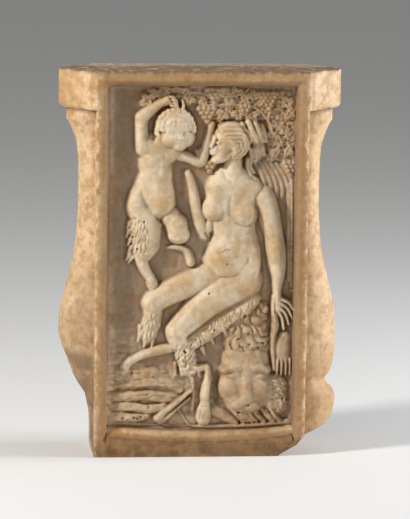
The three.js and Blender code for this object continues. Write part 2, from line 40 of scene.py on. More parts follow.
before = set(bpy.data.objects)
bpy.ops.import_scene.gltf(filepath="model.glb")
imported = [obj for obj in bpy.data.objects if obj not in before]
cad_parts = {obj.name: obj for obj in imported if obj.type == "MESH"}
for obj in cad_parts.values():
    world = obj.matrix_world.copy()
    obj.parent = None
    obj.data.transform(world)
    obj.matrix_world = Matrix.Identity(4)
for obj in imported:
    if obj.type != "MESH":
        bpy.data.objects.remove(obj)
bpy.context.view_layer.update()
NODE = "relief_pier"
PIECE = "relief_block"
LOW, HIGH = (tuple(corner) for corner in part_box(NODE))
MM = 0.001
SEAM_GAP = 0.000002

# ------------------------------------------------------------------ block, from the frame
# Millimetres. x runs to the right, y from the front to the back, z up.

HEIGHT = (HIGH[2] - LOW[2]) / MM
HALF_DEPTH = (HIGH[1] - LOW[1]) / MM / 2
FRONT = -HALF_DEPTH
SLAB_HALF = (HIGH[0] - LOW[0]) / MM / 2
PANEL_HALF = SLAB_HALF - 50.5
SLAB_CHAMFER = 50.0
SLAB_UNDER = HEIGHT - 57.0
RECESS = 26.0
BEVEL = 7.0
FRAME_SIDE, FRAME_TOP = 18.0, 22.0
LEFT, RIGHT = FRAME_SIDE - PANEL_HALF, PANEL_HALF - FRAME_SIDE
BOTTOM, TOP = FRAME_SIDE, HEIGHT - FRAME_TOP
LIP_MIDDLE, LIP_RISE = 37, 8

UPPER_WING = [
    (505, 193), (486, 193), (481, 189.5), (469, 184), (452, 178.5), (433, 176), (396, 175),
    (352, 175.5), (315, 178), (293, 181.5), (271, 186), (246, 192), (222, 198), (197, 202), (175, 203),
]
RIGHT_WING = [
    (148, 202), (128, 199), (116, 195), (107, 188), (97, 192), (91, 199), (84, 202.5), (74, 203.4),
    (57, 201), (41, 192), (33, 180), (27, 166),
]
BROKEN_WING = [
    (155, 197), (140, 192), (118, 183), (100, 173), (85, 163), (66, 159), (44, 156.5), (14, 154),
]

# ------------------------------------------------------------------ carving
# Heights stand above the ground of the relief, towards the viewer. Points are (x, z, height), and
# the joints of a tube also carry its radius.

STEP = 0.9
NOTHING = -60.0
COLUMNS = np.arange(LEFT - 2, RIGHT + 2 + STEP, STEP)
ROWS = np.arange(BOTTOM - 3, TOP + 3 + STEP, STEP)
X, Z = np.meshgrid(COLUMNS, ROWS)
EVERYWHERE = (slice(None), slice(None))


def window(x0, x1, z0, z1):
    """The part of the grid between two corners."""
    columns = np.searchsorted(COLUMNS, [x0, x1])
    rows = np.searchsorted(ROWS, [z0, z1])
    return slice(rows[0], rows[1] + 1), slice(columns[0], columns[1] + 1)


def mix(a, b, t):
    """From a at 0 to b at 1."""
    return a + (b - a) * t


def smooth(low, high, value):
    """An eased step from 0 at low to 1 at high."""
    t = np.clip((value - low) / (high - low), 0, 1)
    return t * t * (3 - 2 * t)


def sample(grid, x, z):
    """The grid read between its points, at any places."""
    u = np.clip((x - COLUMNS[0]) / STEP, 0, len(COLUMNS) - 1.001)
    v = np.clip((z - ROWS[0]) / STEP, 0, len(ROWS) - 1.001)
    i, j = u.astype(int), v.astype(int)
    fu, fv = u - i, v - j
    return mix(mix(grid[j, i], grid[j, i + 1], fu), mix(grid[j + 1, i], grid[j + 1, i + 1], fu), fv)


def lip_at(x):
    """Height of the ledge's upper edge, which dips in the middle."""
    return LIP_MIDDLE + LIP_RISE * (x / RIGHT) ** 2


def swell(outwards, crest, base, power=2.6):
    """A rounded rise from its base at 1 outwards to its crest in the middle."""
    return np.maximum(NOTHING, crest - (crest - base) * outwards ** power)


def curve(places, steps=6):
    """A smooth line through some places."""
    p = np.array(places, float)
    p = np.vstack([2 * p[0] - p[1], p, 2 * p[-1] - p[-2]])
    line = []
    for i in range(1, len(p) - 2):
        for t in np.arange(steps) / steps:
            line.append(0.5 * (2 * p[i] + (p[i + 1] - p[i - 1]) * t
                               + (2 * p[i - 1] - 5 * p[i] + 4 * p[i + 1] - p[i + 2]) * t * t
                               + (3 * p[i] - p[i - 1] - 3 * p[i + 1] + p[i + 2]) * t ** 3))
    line.append(p[-2])
    return np.array(line)


def tube(places, base=0.0, power=2.6):
    """A limb through joints of (x, z, height, radius)."""
    line = curve(places, 4) if len(places) > 2 else np.array(places, float)
    reach = 1.7 * line[:, 3].max()
    w = window(line[:, 0].min() - reach, line[:, 0].max() + reach,
               line[:, 1].min() - reach, line[:, 1].max() + reach)
    x, z = X[w], Z[w]
    outwards = np.full(x.shape, 9.0)
    crest = np.full(x.shape, base + 9.0)
    for a, b in zip(line[:-1], line[1:]):
        dx, dz = b[0] - a[0], b[1] - a[1]
        t = np.clip(((x - a[0]) * dx + (z - a[1]) * dz) / (dx * dx + dz * dz + 1e-9), 0, 1)
        q = np.hypot(x - a[0] - t * dx, z - a[1] - t * dz) / mix(a[3], b[3], t)
        closer = q < outwards
        outwards[closer] = q[closer]
        crest[closer] = mix(a[2], b[2], t[closer])
    return w, swell(outwards, crest, base, power)


def boss(middle, rx, rz, turn=0.0, base=0.0, power=2.6):
    """An oval boss, turned anticlockwise by some degrees."""
    reach = 1.7 * max(rx, rz)
    w = window(middle[0] - reach, middle[0] + reach, middle[1] - reach, middle[1] + reach)
    c, s = math.cos(math.radians(turn)), math.sin(math.radians(turn))
    x, z = X[w] - middle[0], Z[w] - middle[1]
    return w, swell(np.hypot((x * c + z * s) / rx, (z * c - x * s) / rz), middle[2], base, power)


def smooth_max(a, b, blend):
    """The higher of two, eased where they cross."""
    overlap = np.maximum(blend - np.abs(a - b), 0)
    return np.maximum(a, b) + overlap * overlap / (4 * blend)


def lay(clay, forms, blend=0.8):
    """Sets forms on what is already carved."""
    for w, heights in forms:
        clay[w] = smooth_max(clay[w], heights, blend)


def flesh(blend, forms):
    """Forms that flow into each other over a blend of some millimetres."""
    clay = np.full(X.shape, NOTHING)
    lay(clay, forms, blend)
    return clay


def along(line, w):
    """Distance to a line and the share of its length passed, over a window."""
    nearest = np.full(X[w].shape, 1e9)
    passed = np.zeros(X[w].shape)
    lengths = np.hypot(*(line[1:, :2] - line[:-1, :2]).T)
    before = np.concatenate([[0], np.cumsum(lengths)])
    for i, length in enumerate(lengths):
        dx, dz = line[i + 1, 0] - line[i, 0], line[i + 1, 1] - line[i, 1]
        t = np.clip(((X[w] - line[i, 0]) * dx + (Z[w] - line[i, 1]) * dz) / (length * length + 1e-9), 0, 1)
        distance = np.hypot(X[w] - line[i, 0] - t * dx, Z[w] - line[i, 1] - t * dz)
        closer = distance < nearest
        nearest[closer] = distance[closer]
        passed[closer] = (before[i] + t[closer] * length) / before[-1]
    return nearest, passed


def stroke(clay, width, height, *places, ends=0.2):
    """Adds a rounded ridge, or a groove where the height is negative, that fades at its ends."""
    line = curve(places) if len(places) > 2 else np.array(places, float)
    reach = 2.6 * width
    w = window(line[:, 0].min() - reach, line[:, 0].max() + reach,
               line[:, 1].min() - reach, line[:, 1].max() + reach)
    distance, passed = along(line, w)
    fade = smooth(0, ends, np.minimum(passed, 1 - passed)) if ends else 1.0
    clay[w] += height * np.exp(-(distance / width) ** 2) * fade


def drill(clay, places, radius=1.4, depth=6.0):
    """Sinks small round holes."""
    for x, z in places:
        w = window(x - 3 * radius, x + 3 * radius, z - 3 * radius, z + 3 * radius)
        clay[w] -= depth * np.exp(-(np.hypot(X[w] - x, Z[w] - z) / radius) ** 4)


def hash_noise(i, j, seed):
    """A fixed number from 0 to 1 for each cell of a lattice."""
    n = (i * 73856093) ^ (j * 19349663) ^ (seed * 83492791)
    n = (n ^ (n >> 13)) * 1274126177
    return ((n ^ (n >> 16)) & 0xFFFF) / 65535.0


def noise(x, z, size, seed):
    """Soft noise from -1 to 1, with features of some millimetres."""
    u, v = x / size, z / size
    i, j = np.floor(u).astype(np.int64), np.floor(v).astype(np.int64)
    fu, fv = u - i, v - j
    fu, fv = fu * fu * (3 - 2 * fu), fv * fv * (3 - 2 * fv)
    lower = mix(hash_noise(i, j, seed), hash_noise(i + 1, j, seed), fu)
    upper = mix(hash_noise(i, j + 1, seed), hash_noise(i + 1, j + 1, seed), fu)
    return 2 * mix(lower, upper, fv) - 1


def rough(x, z, size, seed, octaves=3):
    """Noise with finer and finer noise on it."""
    return sum(noise(x, z, size / 2 ** k, seed + k) / 2 ** k for k in range(octaves)) / 1.6


def lumps(size, seed, squash=1.0):
    """Rounded lumps packed over the grid, from 0 in the creases to 1 on their crowns."""
    u, v = X / size, Z / size * squash
    i, j = np.floor(u).astype(np.int64), np.floor(v).astype(np.int64)
    nearest = np.full(X.shape, 9.0)
    for di in (-1, 0, 1):
        for dj in (-1, 0, 1):
            cx = i + di + 0.2 + 0.6 * hash_noise(i + di, j + dj, seed)
            cz = j + dj + 0.2 + 0.6 * hash_noise(i + di, j + dj, seed + 1)
            nearest = np.minimum(nearest, np.hypot(u - cx, v - cz))
    return np.clip(1 - (nearest / 0.62) ** 2, 0, 1)


def fur(clay, cover, middle, angle, spacing=3.4, height=1.5, wave=3.0, seed=0, reach=5.0):
    """Combs wavy strands into the clay where the cover stands above zero. The angle may vary."""
    a = np.radians(angle)
    x, z = X - middle[0], Z - middle[1]
    across = (z * np.cos(a) - x * np.sin(a) + wave * noise(X, Z, 15, seed)
              + 0.4 * wave * noise(X, Z, 6, seed + 1))
    forth = x * np.cos(a) + z * np.sin(a)
    cell = np.floor(across / spacing).astype(np.int64)
    passed = forth / (reach * spacing) + hash_noise(cell, 0 * cell, seed)
    tuft = 0.62 + 0.38 * np.sin(2 * math.pi * passed)
    ridge = np.abs(np.sin(math.pi * across / spacing)) ** 0.8
    clay += height * (ridge * tuft - 0.45) * smooth(0, 2.5, cover)


def covered(clay, x0=-999, x1=999, z0=-999, z1=999, soft=6.0, off=1.0):
    """How far the clay stands above zero inside soft limits."""
    inside = np.minimum.reduce([X - x0, x1 - X, Z - z0, z1 - Z]) + 2.5 * noise(X, Z, 7, 3)
    return np.minimum(clay - off, inside / soft * 3)


def curl_of_hair(place, radius, height, turn):
    """A curl of hair, coiled like a snail shell."""
    w = window(place[0] - 1.2 * radius, place[0] + 1.2 * radius, place[1] - 1.2 * radius,
               place[1] + 1.2 * radius)
    x, z = X[w] - place[0], Z[w] - place[1]
    r = np.hypot(x, z) / radius
    swirl = np.cos(np.arctan2(z, x) + 6.5 * r + turn)
    snail = height * (0.72 * (1 - r ** 2.5) + 0.26 * swirl * np.clip(1.1 - r, 0, 1))
    return w, np.where(r < 1.15, snail, NOTHING)


def leaf(place, size, turn, crest=7.0):
    """A vine leaf with five soft lobes and a rib down each."""
    w = window(place[0] - 1.3 * size, place[0] + 1.3 * size, place[1] - 1.3 * size, place[1] + 1.3 * size)
    x, z = X[w] - place[0], Z[w] - place[1]
    angle = (np.arctan2(z, x) - math.radians(turn) + math.pi) % (2 * math.pi) - math.pi
    reach = size * (0.60 + 0.34 * np.abs(np.cos(2.1 * angle))) * np.clip(1.2 - 0.1 * angle ** 2, 0.35, 1)
    r = np.hypot(x, z) / reach
    rib = np.exp(-(np.hypot(x, z) * np.abs(np.sin(2.1 * angle)) / 1.5) ** 2)
    blade = crest - 1.6 * rib - 4.0 * np.abs(r - 0.55) ** 2 - 14 * np.clip(r - 0.9, 0, 1)
    return w, np.where(r < 1.4, blade, NOTHING)


def berries(place, rows, radius, lean=0.0, crest=9.0):
    """A bunch of grapes that narrows downwards."""
    forms = []
    for row in range(rows):
        for i in range(rows - row):
            x = place[0] + (i - (rows - 1 - row) / 2) * 1.7 * radius + lean * row
            z = place[1] - row * 1.5 * radius + 0.4 * (i % 2)
            forms.append(boss((x, z, crest + (i + row) % 3 * 0.5), radius, radius, 0, crest - 3.5))
    return forms


# ------------------------------------------------------------------ child satyr

CHILD_HEAD = (-38, 473)


def child():
    """The child satyr, who stands and reaches up into the vine."""
    body = flesh(7, [
        tube([(-64, 446, 13, 26), (-67, 428, 16, 27), (-66, 410, 17, 26), (-68, 396, 17, 29),
              (-71, 380, 17, 33)]),
        boss((-60, 378, 21.5), 23, 27, 4, 2), boss((-57, 366, 22), 19, 20, 0, 6),
        tube([(-90, 380, 15, 15), (-92, 364, 17.5, 18), (-92, 352, 16, 15)]),
        tube([(-80, 346, 19, 25), (-80, 330, 19, 26.5), (-79, 312, 17.5, 23), (-84, 297, 15, 18)]),
        tube([(-84, 454, 13, 12.5), (-62, 446, 14, 13), (-42, 442, 13, 12)]),
        tube([(-36, 448, 12, 12), (-46, 436, 14, 12)]),
    ])
    for cut in (
        (2.0, -3.6, (-72, 352), (-64, 346), (-55, 341), (-48, 347), (-41, 357), (-38, 366)),
        (3.0, -2.2, (-88, 392), (-84, 376), (-77, 362), (-68, 351)),
        (2.2, -3.0, (-110, 345), (-100, 345), (-92, 348)),
        (3.4, -1.6, (-62, 436), (-62, 420), (-64, 404)),
        (2.4, -1.5, (-82, 424), (-74, 420), (-64, 421)), (2.2, -1.0, (-58, 421), (-50, 421), (-43, 424)),
        (2.6, -2.4, (-96, 446), (-90, 436), (-84, 430)),
        (3.0, -1.0, (-90, 404), (-80, 400), (-68, 402)), (3.0, -1.2, (-56, 404), (-48, 401), (-41, 404)),
        (1.5, -2.6, (-47, 379), (-46, 376)), (2.6, -2.2, (-58, 338), (-57, 322), (-60, 306)),
    ):
        stroke(body, *cut)
    stroke(body, 5, 1.4, (-76, 432), (-66, 428))
    stroke(body, 5, 1.2, (-54, 432), (-46, 430))
    raised_arm = flesh(5, [
        tube([(-84, 446, 14, 13), (-86.5, 462, 14.5, 11), (-87.5, 480, 14, 10.5), (-87, 490, 14, 11)]),
        tube([(-87, 491, 14, 11), (-76, 501, 14, 10), (-62, 511, 14, 8), (-56, 514, 14, 8)]),
        boss((-51, 516, 15), 9, 9),
        *(tube([(-50 + 1.5 * k, 521 - 4 * k, 15, 3), (-43 + 1.5 * k, 521 - 4.4 * k, 15.5, 2.8),
                (-38 + k, 516 - 4 * k, 14, 2.4)], 4)
          for k in range(4)),
    ])
    for k in range(4):
        stroke(raised_arm, 1.0, -1.8, (-53 + 2.2 * k, 524 - 1.6 * k), (-46 + 1.2 * k, 520 - 3.2 * k))
    stroke(raised_arm, 1.8, -1.0, (-97, 488), (-88, 482), (-80, 484))
    far_arm = flesh(4, [
        tube([(-34, 438, 11, 10), (-18, 433, 11, 9), (-2, 427, 10.5, 9.5), (4, 440, 10, 8.6),
              (9, 460, 9, 7.6), (14, 482, 8, 6)]),
    ])
    shin = flesh(4, [
        tube([(-86, 292, 14, 13), (-84, 280, 13, 10), (-79, 269, 12.5, 9), (-72, 258, 12.5, 8.5)]),
        tube([(-72, 258, 13, 8.5), (-69, 250, 12.5, 9.5), (-69, 246, 11, 8)]),
    ])
    stroke(shin, 1.2, -2.4, (-76, 252), (-70, 243), ends=0)
    stroke(shin, 1.4, -1.4, (-80, 258), (-70, 262), (-62, 258))
    far_thigh = flesh(6, [boss((-44, 348, 17), 15, 16, 0, 2, 3.4), boss((-35, 335, 20), 17, 20, 8, 2, 3.4),
                          boss((-32, 322, 19.5), 17, 15, 0, 2, 3.4)])
    stroke(far_thigh, 1.8, -1.8, (-48, 336), (-43, 327), (-36, 317))
    stroke(far_thigh, 1.6, -1.4, (-38, 322), (-34, 314), (-35, 310))
    far_shin = flesh(3, [
        tube([(-48, 303, 5, 3), (-38, 303.5, 8, 4.4), (-27, 302, 10, 5.5), (-19, 296, 11, 7),
              (-15, 287, 12, 7.5), (-14, 281, 11, 7.5)]),
    ])
    stroke(far_shin, 1.4, -1.2, (-42, 303), (-30, 301), (-22, 292))
    fur(body, covered(body, -120, -76, 288, 347), (-95, 320), 262 + 0.8 * (X + 95), 4.4, 4.2, 3.6, 11, 3.4)
    fur(body, covered(body, -80, -62, 288, 330), (-70, 310), 285, 3.6, 0.9, 3, 13)
    fur(shin, covered(shin, -110, -72, 272, 300), (-86, 285), 258, 3.8, 2.4, 3, 15)
    fur(far_thigh, covered(far_thigh, -52, -34, 306, 330), (-42, 318), 280, 3.2, 0.8, 2.6, 17)
    tufts = flesh(1.5, [tube([(x, z, 9, 4), (x + dx, z - 9, 6, 2.2)], 2) for x, z, dx in (
        (-103, 340, -3), (-104, 328, -3), (-101, 316, -4), (-100, 304, -5), (-102, 294, -5),
        (-98, 290, -6))])
    clay = np.maximum.reduce([smooth_max(body, tufts, 2), shin, far_thigh, far_shin, far_arm])
    lay(clay, [(EVERYWHERE, raised_arm)], 4)
    lay(clay, [(EVERYWHERE, child_head())], 0.8)
    drill(clay, [(-79, 255), (-24, 290), (-98, 319), (-54, 315), (-83, 342), (-92, 302), (-36, 404),
                 (-117, 384)], 1.3, 5)
    return clay


def child_head():
    """A round head under short curls, with two small horns."""
    hx, hz = CHILD_HEAD
    head = flesh(6, [boss((hx - 1, hz + 4, 24), 26, 28, 0), boss((hx + 1, hz - 12, 22.6), 20, 17, 0, 4)])
    face = flesh(3.4, [
        tube([(hx + 3, hz - 1, 23.6, 3.2), (hx + 4.4, hz - 6, 24.8, 3.4), (hx + 5, hz - 9.4, 25.4, 4)], 18),
        boss((hx + 4.6, hz - 15.8, 23.7), 5.2, 2.6, 0, 19),
        boss((hx + 4.4, hz - 18.6, 23.4), 4.6, 2.4, 0, 19),
        boss((hx - 7, hz - 11, 22.0), 13, 12, 0, 15), boss((hx + 13, hz - 10, 20.8), 11, 11, 0, 14),
        boss((hx + 4, hz - 22.6, 22.0), 9, 6, 0, 14), boss((hx, hz + 4, 24.4), 17, 8, 0, 19),
    ])
    head = smooth_max(head, face, 5)
    for side, ex in ((-1, hx - 6.4), (1, hx + 12.4)):
        fall = 23.2 if side < 0 else 22.0
        stroke(head, 2.6, -1.7, (ex - 5, hz - 2.6), (ex, hz - 2), (ex + 5, hz - 2.8))
        lay(head, [boss((ex, hz - 3.0, fall), 4.0, 2.2, 0, fall - 3)], 0.6)
        stroke(head, 0.8, 0.5, (ex - 5, hz - 3), (ex, hz - 0.4), (ex + 5, hz - 3.2))
        stroke(head, 0.8, -0.5, (ex - 4.4, hz - 4.6), (ex, hz - 6), (ex + 4.4, hz - 4.8))
    for cut in (
        (0.8, -1.2, (hx - 1, hz - 17), (hx + 4.6, hz - 17.5), (hx + 10, hz - 16.8)),
        (1.0, -0.7, (hx + 1, hz - 12.6), (hx + 4.8, hz - 13.4), (hx + 8.4, hz - 12.4)),
        (1.4, -0.7, (hx + 0.6, hz - 20.6), (hx + 4.4, hz - 21.4), (hx + 8.4, hz - 20.6)),
        (1.4, -0.6, (hx - 3, hz - 11), (hx - 4.4, hz - 15), (hx - 3, hz - 19)),
    ):
        stroke(head, *cut)
    lay(head, [boss((hx - 24, hz - 8, 16), 4, 7, 8, 8)], 0.8)
    stroke(head, 1.0, -1.8, (hx - 25, hz - 4), (hx - 23.6, hz - 8), (hx - 25, hz - 12))
    head = soften(np.maximum(head, -3), 1)
    cap = boss((hx - 1, hz + 9, 25.2), 28, 24, 0)
    hair = np.full(X.shape, NOTHING)
    hair[cap[0]] = np.where(Z[cap[0]] > hz + 6.5 - 0.016 * (X[cap[0]] - hx) ** 2, cap[1], NOTHING)
    hair += np.where(hair > 0, 3.0 * lumps(6.4, 41) - 2.0, 0)
    for k in range(34):
        ring, i = divmod(k, 12)
        angle = math.radians(-4 + 16.8 * (i + 0.5 * (ring % 2)))
        reach = 24.5 - 6.2 * ring
        place = (hx - 1 + reach * math.cos(angle), hz + 5 + reach * 0.98 * math.sin(angle))
        w, snail = curl_of_hair(place, 4.4, 3.4, 2.4 * k)
        hair[w] = np.maximum(hair[w], 15.5 + 2.5 * ring + snail)
    for px, pz in ((-27, 1), (-27.5, -4), (26, 0), (-25, 5), (25.4, 5)):
        w, snail = curl_of_hair((hx + px, hz + pz), 4.0, 3, px)
        hair[w] = np.maximum(hair[w], 12 + snail)
    lay(head, [(EVERYWHERE, soften(hair, 1))], 0.8)
    lay(head, [tube([(hx, hz + 29, 15, 3.8), (hx + 1, hz + 37, 13, 3.2), (hx - 1, hz + 45, 11, 2)], 4),
               tube([(hx + 8, hz + 28, 15, 3.8), (hx + 10, hz + 36, 13, 3), (hx + 9, hz + 43, 11, 1.8)],
                    4)], 0.8)
    return head


# ------------------------------------------------------------------ satyress

HEAD_TILT = 8.0
HEAD_MIDDLE = (38, 453)


def on_head(forward, up, *rest):
    """A place on her head, from millimetres forward of its middle and above it."""
    c, s = math.cos(math.radians(HEAD_TILT)), math.sin(math.radians(HEAD_TILT))
    return (HEAD_MIDDLE[0] - forward * c + up * s, HEAD_MIDDLE[1] + forward * s + up * c) + rest


def satyress_head():
    """Her head in profile, with waved hair drawn into a knot."""
    head = flesh(6, [
        boss(on_head(-4, 6, 22), 25, 26, -HEAD_TILT, 0), boss(on_head(8, 9, 21), 17, 19, -HEAD_TILT),
        boss(on_head(7, -8, 21.4), 16.5, 19, -HEAD_TILT), boss(on_head(10, -17, 20.4), 13, 13, 0),
        tube([on_head(15, -25, 19, 6.4), on_head(4, -20.6, 19.6, 7.4), on_head(-7, -12, 20, 8)]),
        boss(on_head(16.6, -25.4, 19.4), 6.6, 5.6),
    ])
    features = flesh(2.4, [
        tube([on_head(21.6, 8, 18.6, 4), on_head(22.6, 1, 18.8, 4), on_head(24.6, -5.0, 19, 4)], 4),
        boss(on_head(24.4, -6.6, 19), 3.4, 2.8, 0, 8), boss(on_head(21.8, -12.2, 18.6), 4.4, 2.6, 0, 9),
        boss(on_head(21.2, -15.8, 18.4), 4.2, 2.6, 0, 9), boss(on_head(17.4, -10.4, 20.6), 6, 8, 0, 14),
    ])
    head = smooth_max(head, features, 3)
    stroke(head, 2.8, -1.3, on_head(20.0, 2.4), on_head(15, 3.0), on_head(9.6, 1.4))
    lay(head, [boss(on_head(14.6, 1.0, 21.2), 4.4, 2.6, -HEAD_TILT, 17)], 0.6)
    for ridge in (
        (0.9, 0.8, on_head(19.6, 1.2), on_head(15, 3.8), on_head(9.6, 1.0)),
        (0.8, 0.4, on_head(18.8, -0.2), on_head(14.6, -2), on_head(10.4, 0)),
        (2.0, 0.9, on_head(20.4, 7.2), on_head(14.4, 8.6), on_head(7.6, 6.4)),
        (0.8, -0.8, on_head(24.4, -14.0), on_head(21, -14.1), on_head(17.4, -13.4)),
        (1.0, -0.6, on_head(23.4, -8.4), on_head(20.8, -7.4), on_head(20.4, -4.8)),
        (1.6, -0.9, on_head(22.6, -19.4), on_head(19.4, -19.8), on_head(16, -18.6)),
        (1.4, -0.6, on_head(18.6, -8), on_head(16.4, -11.6), on_head(16.2, -15)),
        (2.6, -1.6, on_head(6, -27), on_head(-3, -20), on_head(-8, -12)),
    ):
        stroke(head, *ridge)
    head = soften(np.maximum(head, -3), 2)
    ex, ez = on_head(-8, -4)
    front = [on_head(19, 27), on_head(16.5, 17), on_head(8, 11), on_head(2, 4), on_head(-3, -1),
             on_head(-6, -12)]
    line = curve(front, 5)
    x, z = X - ex, Z - ez
    edge = np.interp(Z, line[::-1, 1], line[::-1, 0])
    reach = np.hypot((X - 41) / 29.5, (Z - 458) / 28.5)
    cover = np.minimum(X - edge, (1.0 - reach) * 26)
    flow = np.hypot(x * 0.92, z * 0.86) + 1.1 * noise(X, Z, 9, 77) + 1.5 * np.sin(np.arctan2(z, x) * 5)
    waves = 0.5 + 0.5 * np.cos(2 * math.pi * flow / 5.2)
    thin = 0.5 + 0.5 * np.cos(2 * math.pi * (flow + 0.5) / 1.9)
    hair = 12 + 11.5 * np.clip(1 - reach ** 3.2, 0, 1) + 2.3 * waves + 0.7 * thin
    hair = np.where(cover > 0, np.minimum(hair, 15 + 4.5 * np.sqrt(np.clip(cover, 0, 9))), NOTHING)
    lay(head, [(EVERYWHERE, hair)], 0.8)
    lay(head, [boss((ex, ez, 24.4), 4.6, 7.4, 20, 18)], 0.6)
    stroke(head, 1.0, -1.8, (ex + 2, ez + 5), (ex - 1.6, ez + 3), (ex - 0.6, ez - 4))
    stroke(head, 1.0, -1.4, (ex + 1, ez + 1), (ex + 1.8, ez - 3))
    # The knot: strands drawn up tight, a fan of thick locks and hair that hangs in the hollow below.
    knot = flesh(4, [
        boss((76, 468, 16), 17, 18, -30, 2), boss((80, 446, 8), 13, 22, 0, 0),
        tube([(57, 482, 17, 5), (63, 470, 17, 5), (69, 458, 15, 5)]),
        tube([(66, 485, 20, 5.6), (72, 472, 20, 6.2), (78, 458, 17, 5)]),
        tube([(76, 483, 18, 5.4), (82, 471, 18, 6), (87, 459, 14, 5)]),
        tube([(86, 478, 14, 4.6), (90, 468, 13, 5), (92, 458, 10, 4)]),
    ])
    fur(knot, knot - 1, (75, 470), -64, 3.4, 2.6, 1.4, 61, 9)
    hanging = flesh(1.6, [
        tube([(80, 452, 9, 5), (82, 440, 8, 5), (78, 428, 7, 4)]), tube([(88, 450, 8, 4), (90, 438, 7, 4)]),
        tube([(70, 446, 10, 4.6), (72, 434, 9, 4.6), (70, 422, 8, 4), (76, 412, 8, 3.4)]),
        tube([(66, 432, 10, 4), (66, 420, 9, 4), (72, 408, 9, 4), (82, 401, 8, 3)]),
    ])
    fur(hanging, hanging - 1, (76, 430), -80, 3.4, 2.2, 1.6, 63, 8)
    behind = soften(np.maximum(np.maximum(knot, hanging), -3), 1)
    return np.maximum(head, behind)


def satyress_body():
    """Her trunk and both arms."""
    torso = flesh(7, [
        tube([(46, 436, 15, 15), (46, 420, 16.5, 15), (46, 406, 17.5, 19)]),
        tube([(22, 390, 16, 17), (46, 398, 17.5, 14), (76, 388, 18.5, 16)]),
        tube([(44, 386, 18.5, 40), (44, 368, 19, 39), (46, 346, 18.5, 35), (49, 324, 18.5, 33),
              (50, 308, 19.5, 36), (47, 292, 21, 40), (50, 276, 21, 36)], 0, 3.2),
        boss((32, 284, 23), 24, 22, 0, 10), boss((40, 270, 22.4), 24, 12, 0, 10),
        tube([(74, 300, 17, 14), (76, 280, 20, 14), (72, 262, 21, 16)]),
    ])
    bosom = flesh(3, [boss((18, 359, 23), 14.5, 15.5, 0, 12), boss((62, 355, 24.6), 17, 18, 0, 14),
                      tube([(72, 384, 19, 10), (66, 368, 21, 12)], 12),
                      tube([(24, 384, 18, 10), (20, 370, 20, 11)], 12)])
    torso = smooth_max(torso, bosom, 5)
    for cut in (
        (2.6, -1.6, (29, 417), (36, 404), (45, 397)), (2.6, -1.2, (61, 424), (55, 410), (48, 398)),
        (1.8, 0.8, (14, 395), (30, 396), (44, 394)), (1.8, 0.8, (50, 394), (64, 397), (80, 398)),
        (3.6, -1.8, (42, 382), (40, 364), (42, 346)),
        (1.8, -1.4, (8, 351), (14, 344), (22, 343), (30, 348)),
        (1.8, -1.7, (46, 344), (56, 337), (68, 336), (78, 343)),
        (3.4, -1.6, (84, 372), (79, 360), (80, 344)),
        (4.0, -1.2, (44, 334), (42, 320), (43, 306)), (3.0, -0.8, (22, 334), (24, 322), (22, 310)),
        (3.4, -1.0, (64, 332), (70, 320), (72, 306)),
        (0.9, -2.2, (20, 301), (25, 297.5), (31, 298.5), (36, 302), (44, 300.5)),
        (2.0, 0.8, (18, 304), (30, 303), (48, 304)),
        (1.0, -1.2, (34, 303), (35, 309)), (1.8, -2.4, (37, 283), (37.4, 279)),
        (2.0, -4.0, (13, 262), (20, 259.6), (34, 260), (46, 261.6), (58, 268)),
        (3.0, -1.4, (58, 268), (66, 280), (68, 294)), (1.6, -0.8, (30, 292), (44, 290), (56, 293)),
    ):
        stroke(torso, *cut)
    near_arm = flesh(5, [
        boss((88, 376, 20), 20, 20),
        tube([(92, 372, 21, 18), (97, 358, 21.4, 17), (101, 340, 20.6, 17), (106, 320, 19.6, 15),
              (109, 300, 20, 16), (111, 280, 19, 15), (112.5, 262, 17.6, 12), (111.5, 248, 16.5, 9)]),
        tube([(111.5, 248, 16.5, 9), (111.4, 238, 16, 8), (112, 226, 15.6, 9.4), (114, 214, 15, 9.6)]),
    ])
    for cut in ((2.8, -0.8, (102, 368), (110, 352), (112, 338)),
                (2.0, -1.2, (92, 322), (99, 317), (108, 320)),
                (3.0, -0.8, (114, 310), (118, 290), (118, 266)),
                (1.4, -0.7, (104, 244), (112, 241), (119, 244)),
                (3.0, -0.7, (97, 300), (101, 280), (104, 262))):
        stroke(near_arm, *cut)
    hand = np.full(X.shape, NOTHING)
    for i, (x, z) in enumerate([(136, 211), (134, 200), (129, 191), (122, 184)]):
        start = (118 - 2.2 * i, 228 - 5 * i)
        middle = (mix(start[0], x, 0.55) + 1.6, mix(start[1], z, 0.5) + 2)
        lay(hand, [tube([start + (15.6, 3.4), middle + (15.2, 3.2), (x, z, 12, 2.3)], 5)], 0.6)
    lay(hand, [tube([(107, 232, 15, 4), (106, 218, 14.6, 3.6), (106.4, 205, 13, 2.8)], 4)], 0.8)
    far_arm = flesh(4, [
        tube([(-19, 411, 8, 6.5), (-15, 400, 9, 7.5), (-11, 385, 10, 8.5), (-8, 366, 10, 9.4),
              (-4, 350, 9.6, 10), (0, 335, 9, 11), (5, 322, 8, 10.5)]),
        tube([(12, 330, 8, 7), (14, 350, 9, 7)]),
    ])
    for k in range(3):
        stroke(far_arm, 0.9, -1.3, (-24 + 4 * k, 411), (-22.6 + 4 * k, 419), ends=0)
    stroke(far_arm, 2.0, -1.4, (-13, 405), (-5, 392), (-2, 376))
    drill(far_arm, [(6, 324), (8.4, 321), (10, 318)], 1.3, 4)
    return np.maximum.reduce([torso, near_arm, hand, far_arm])


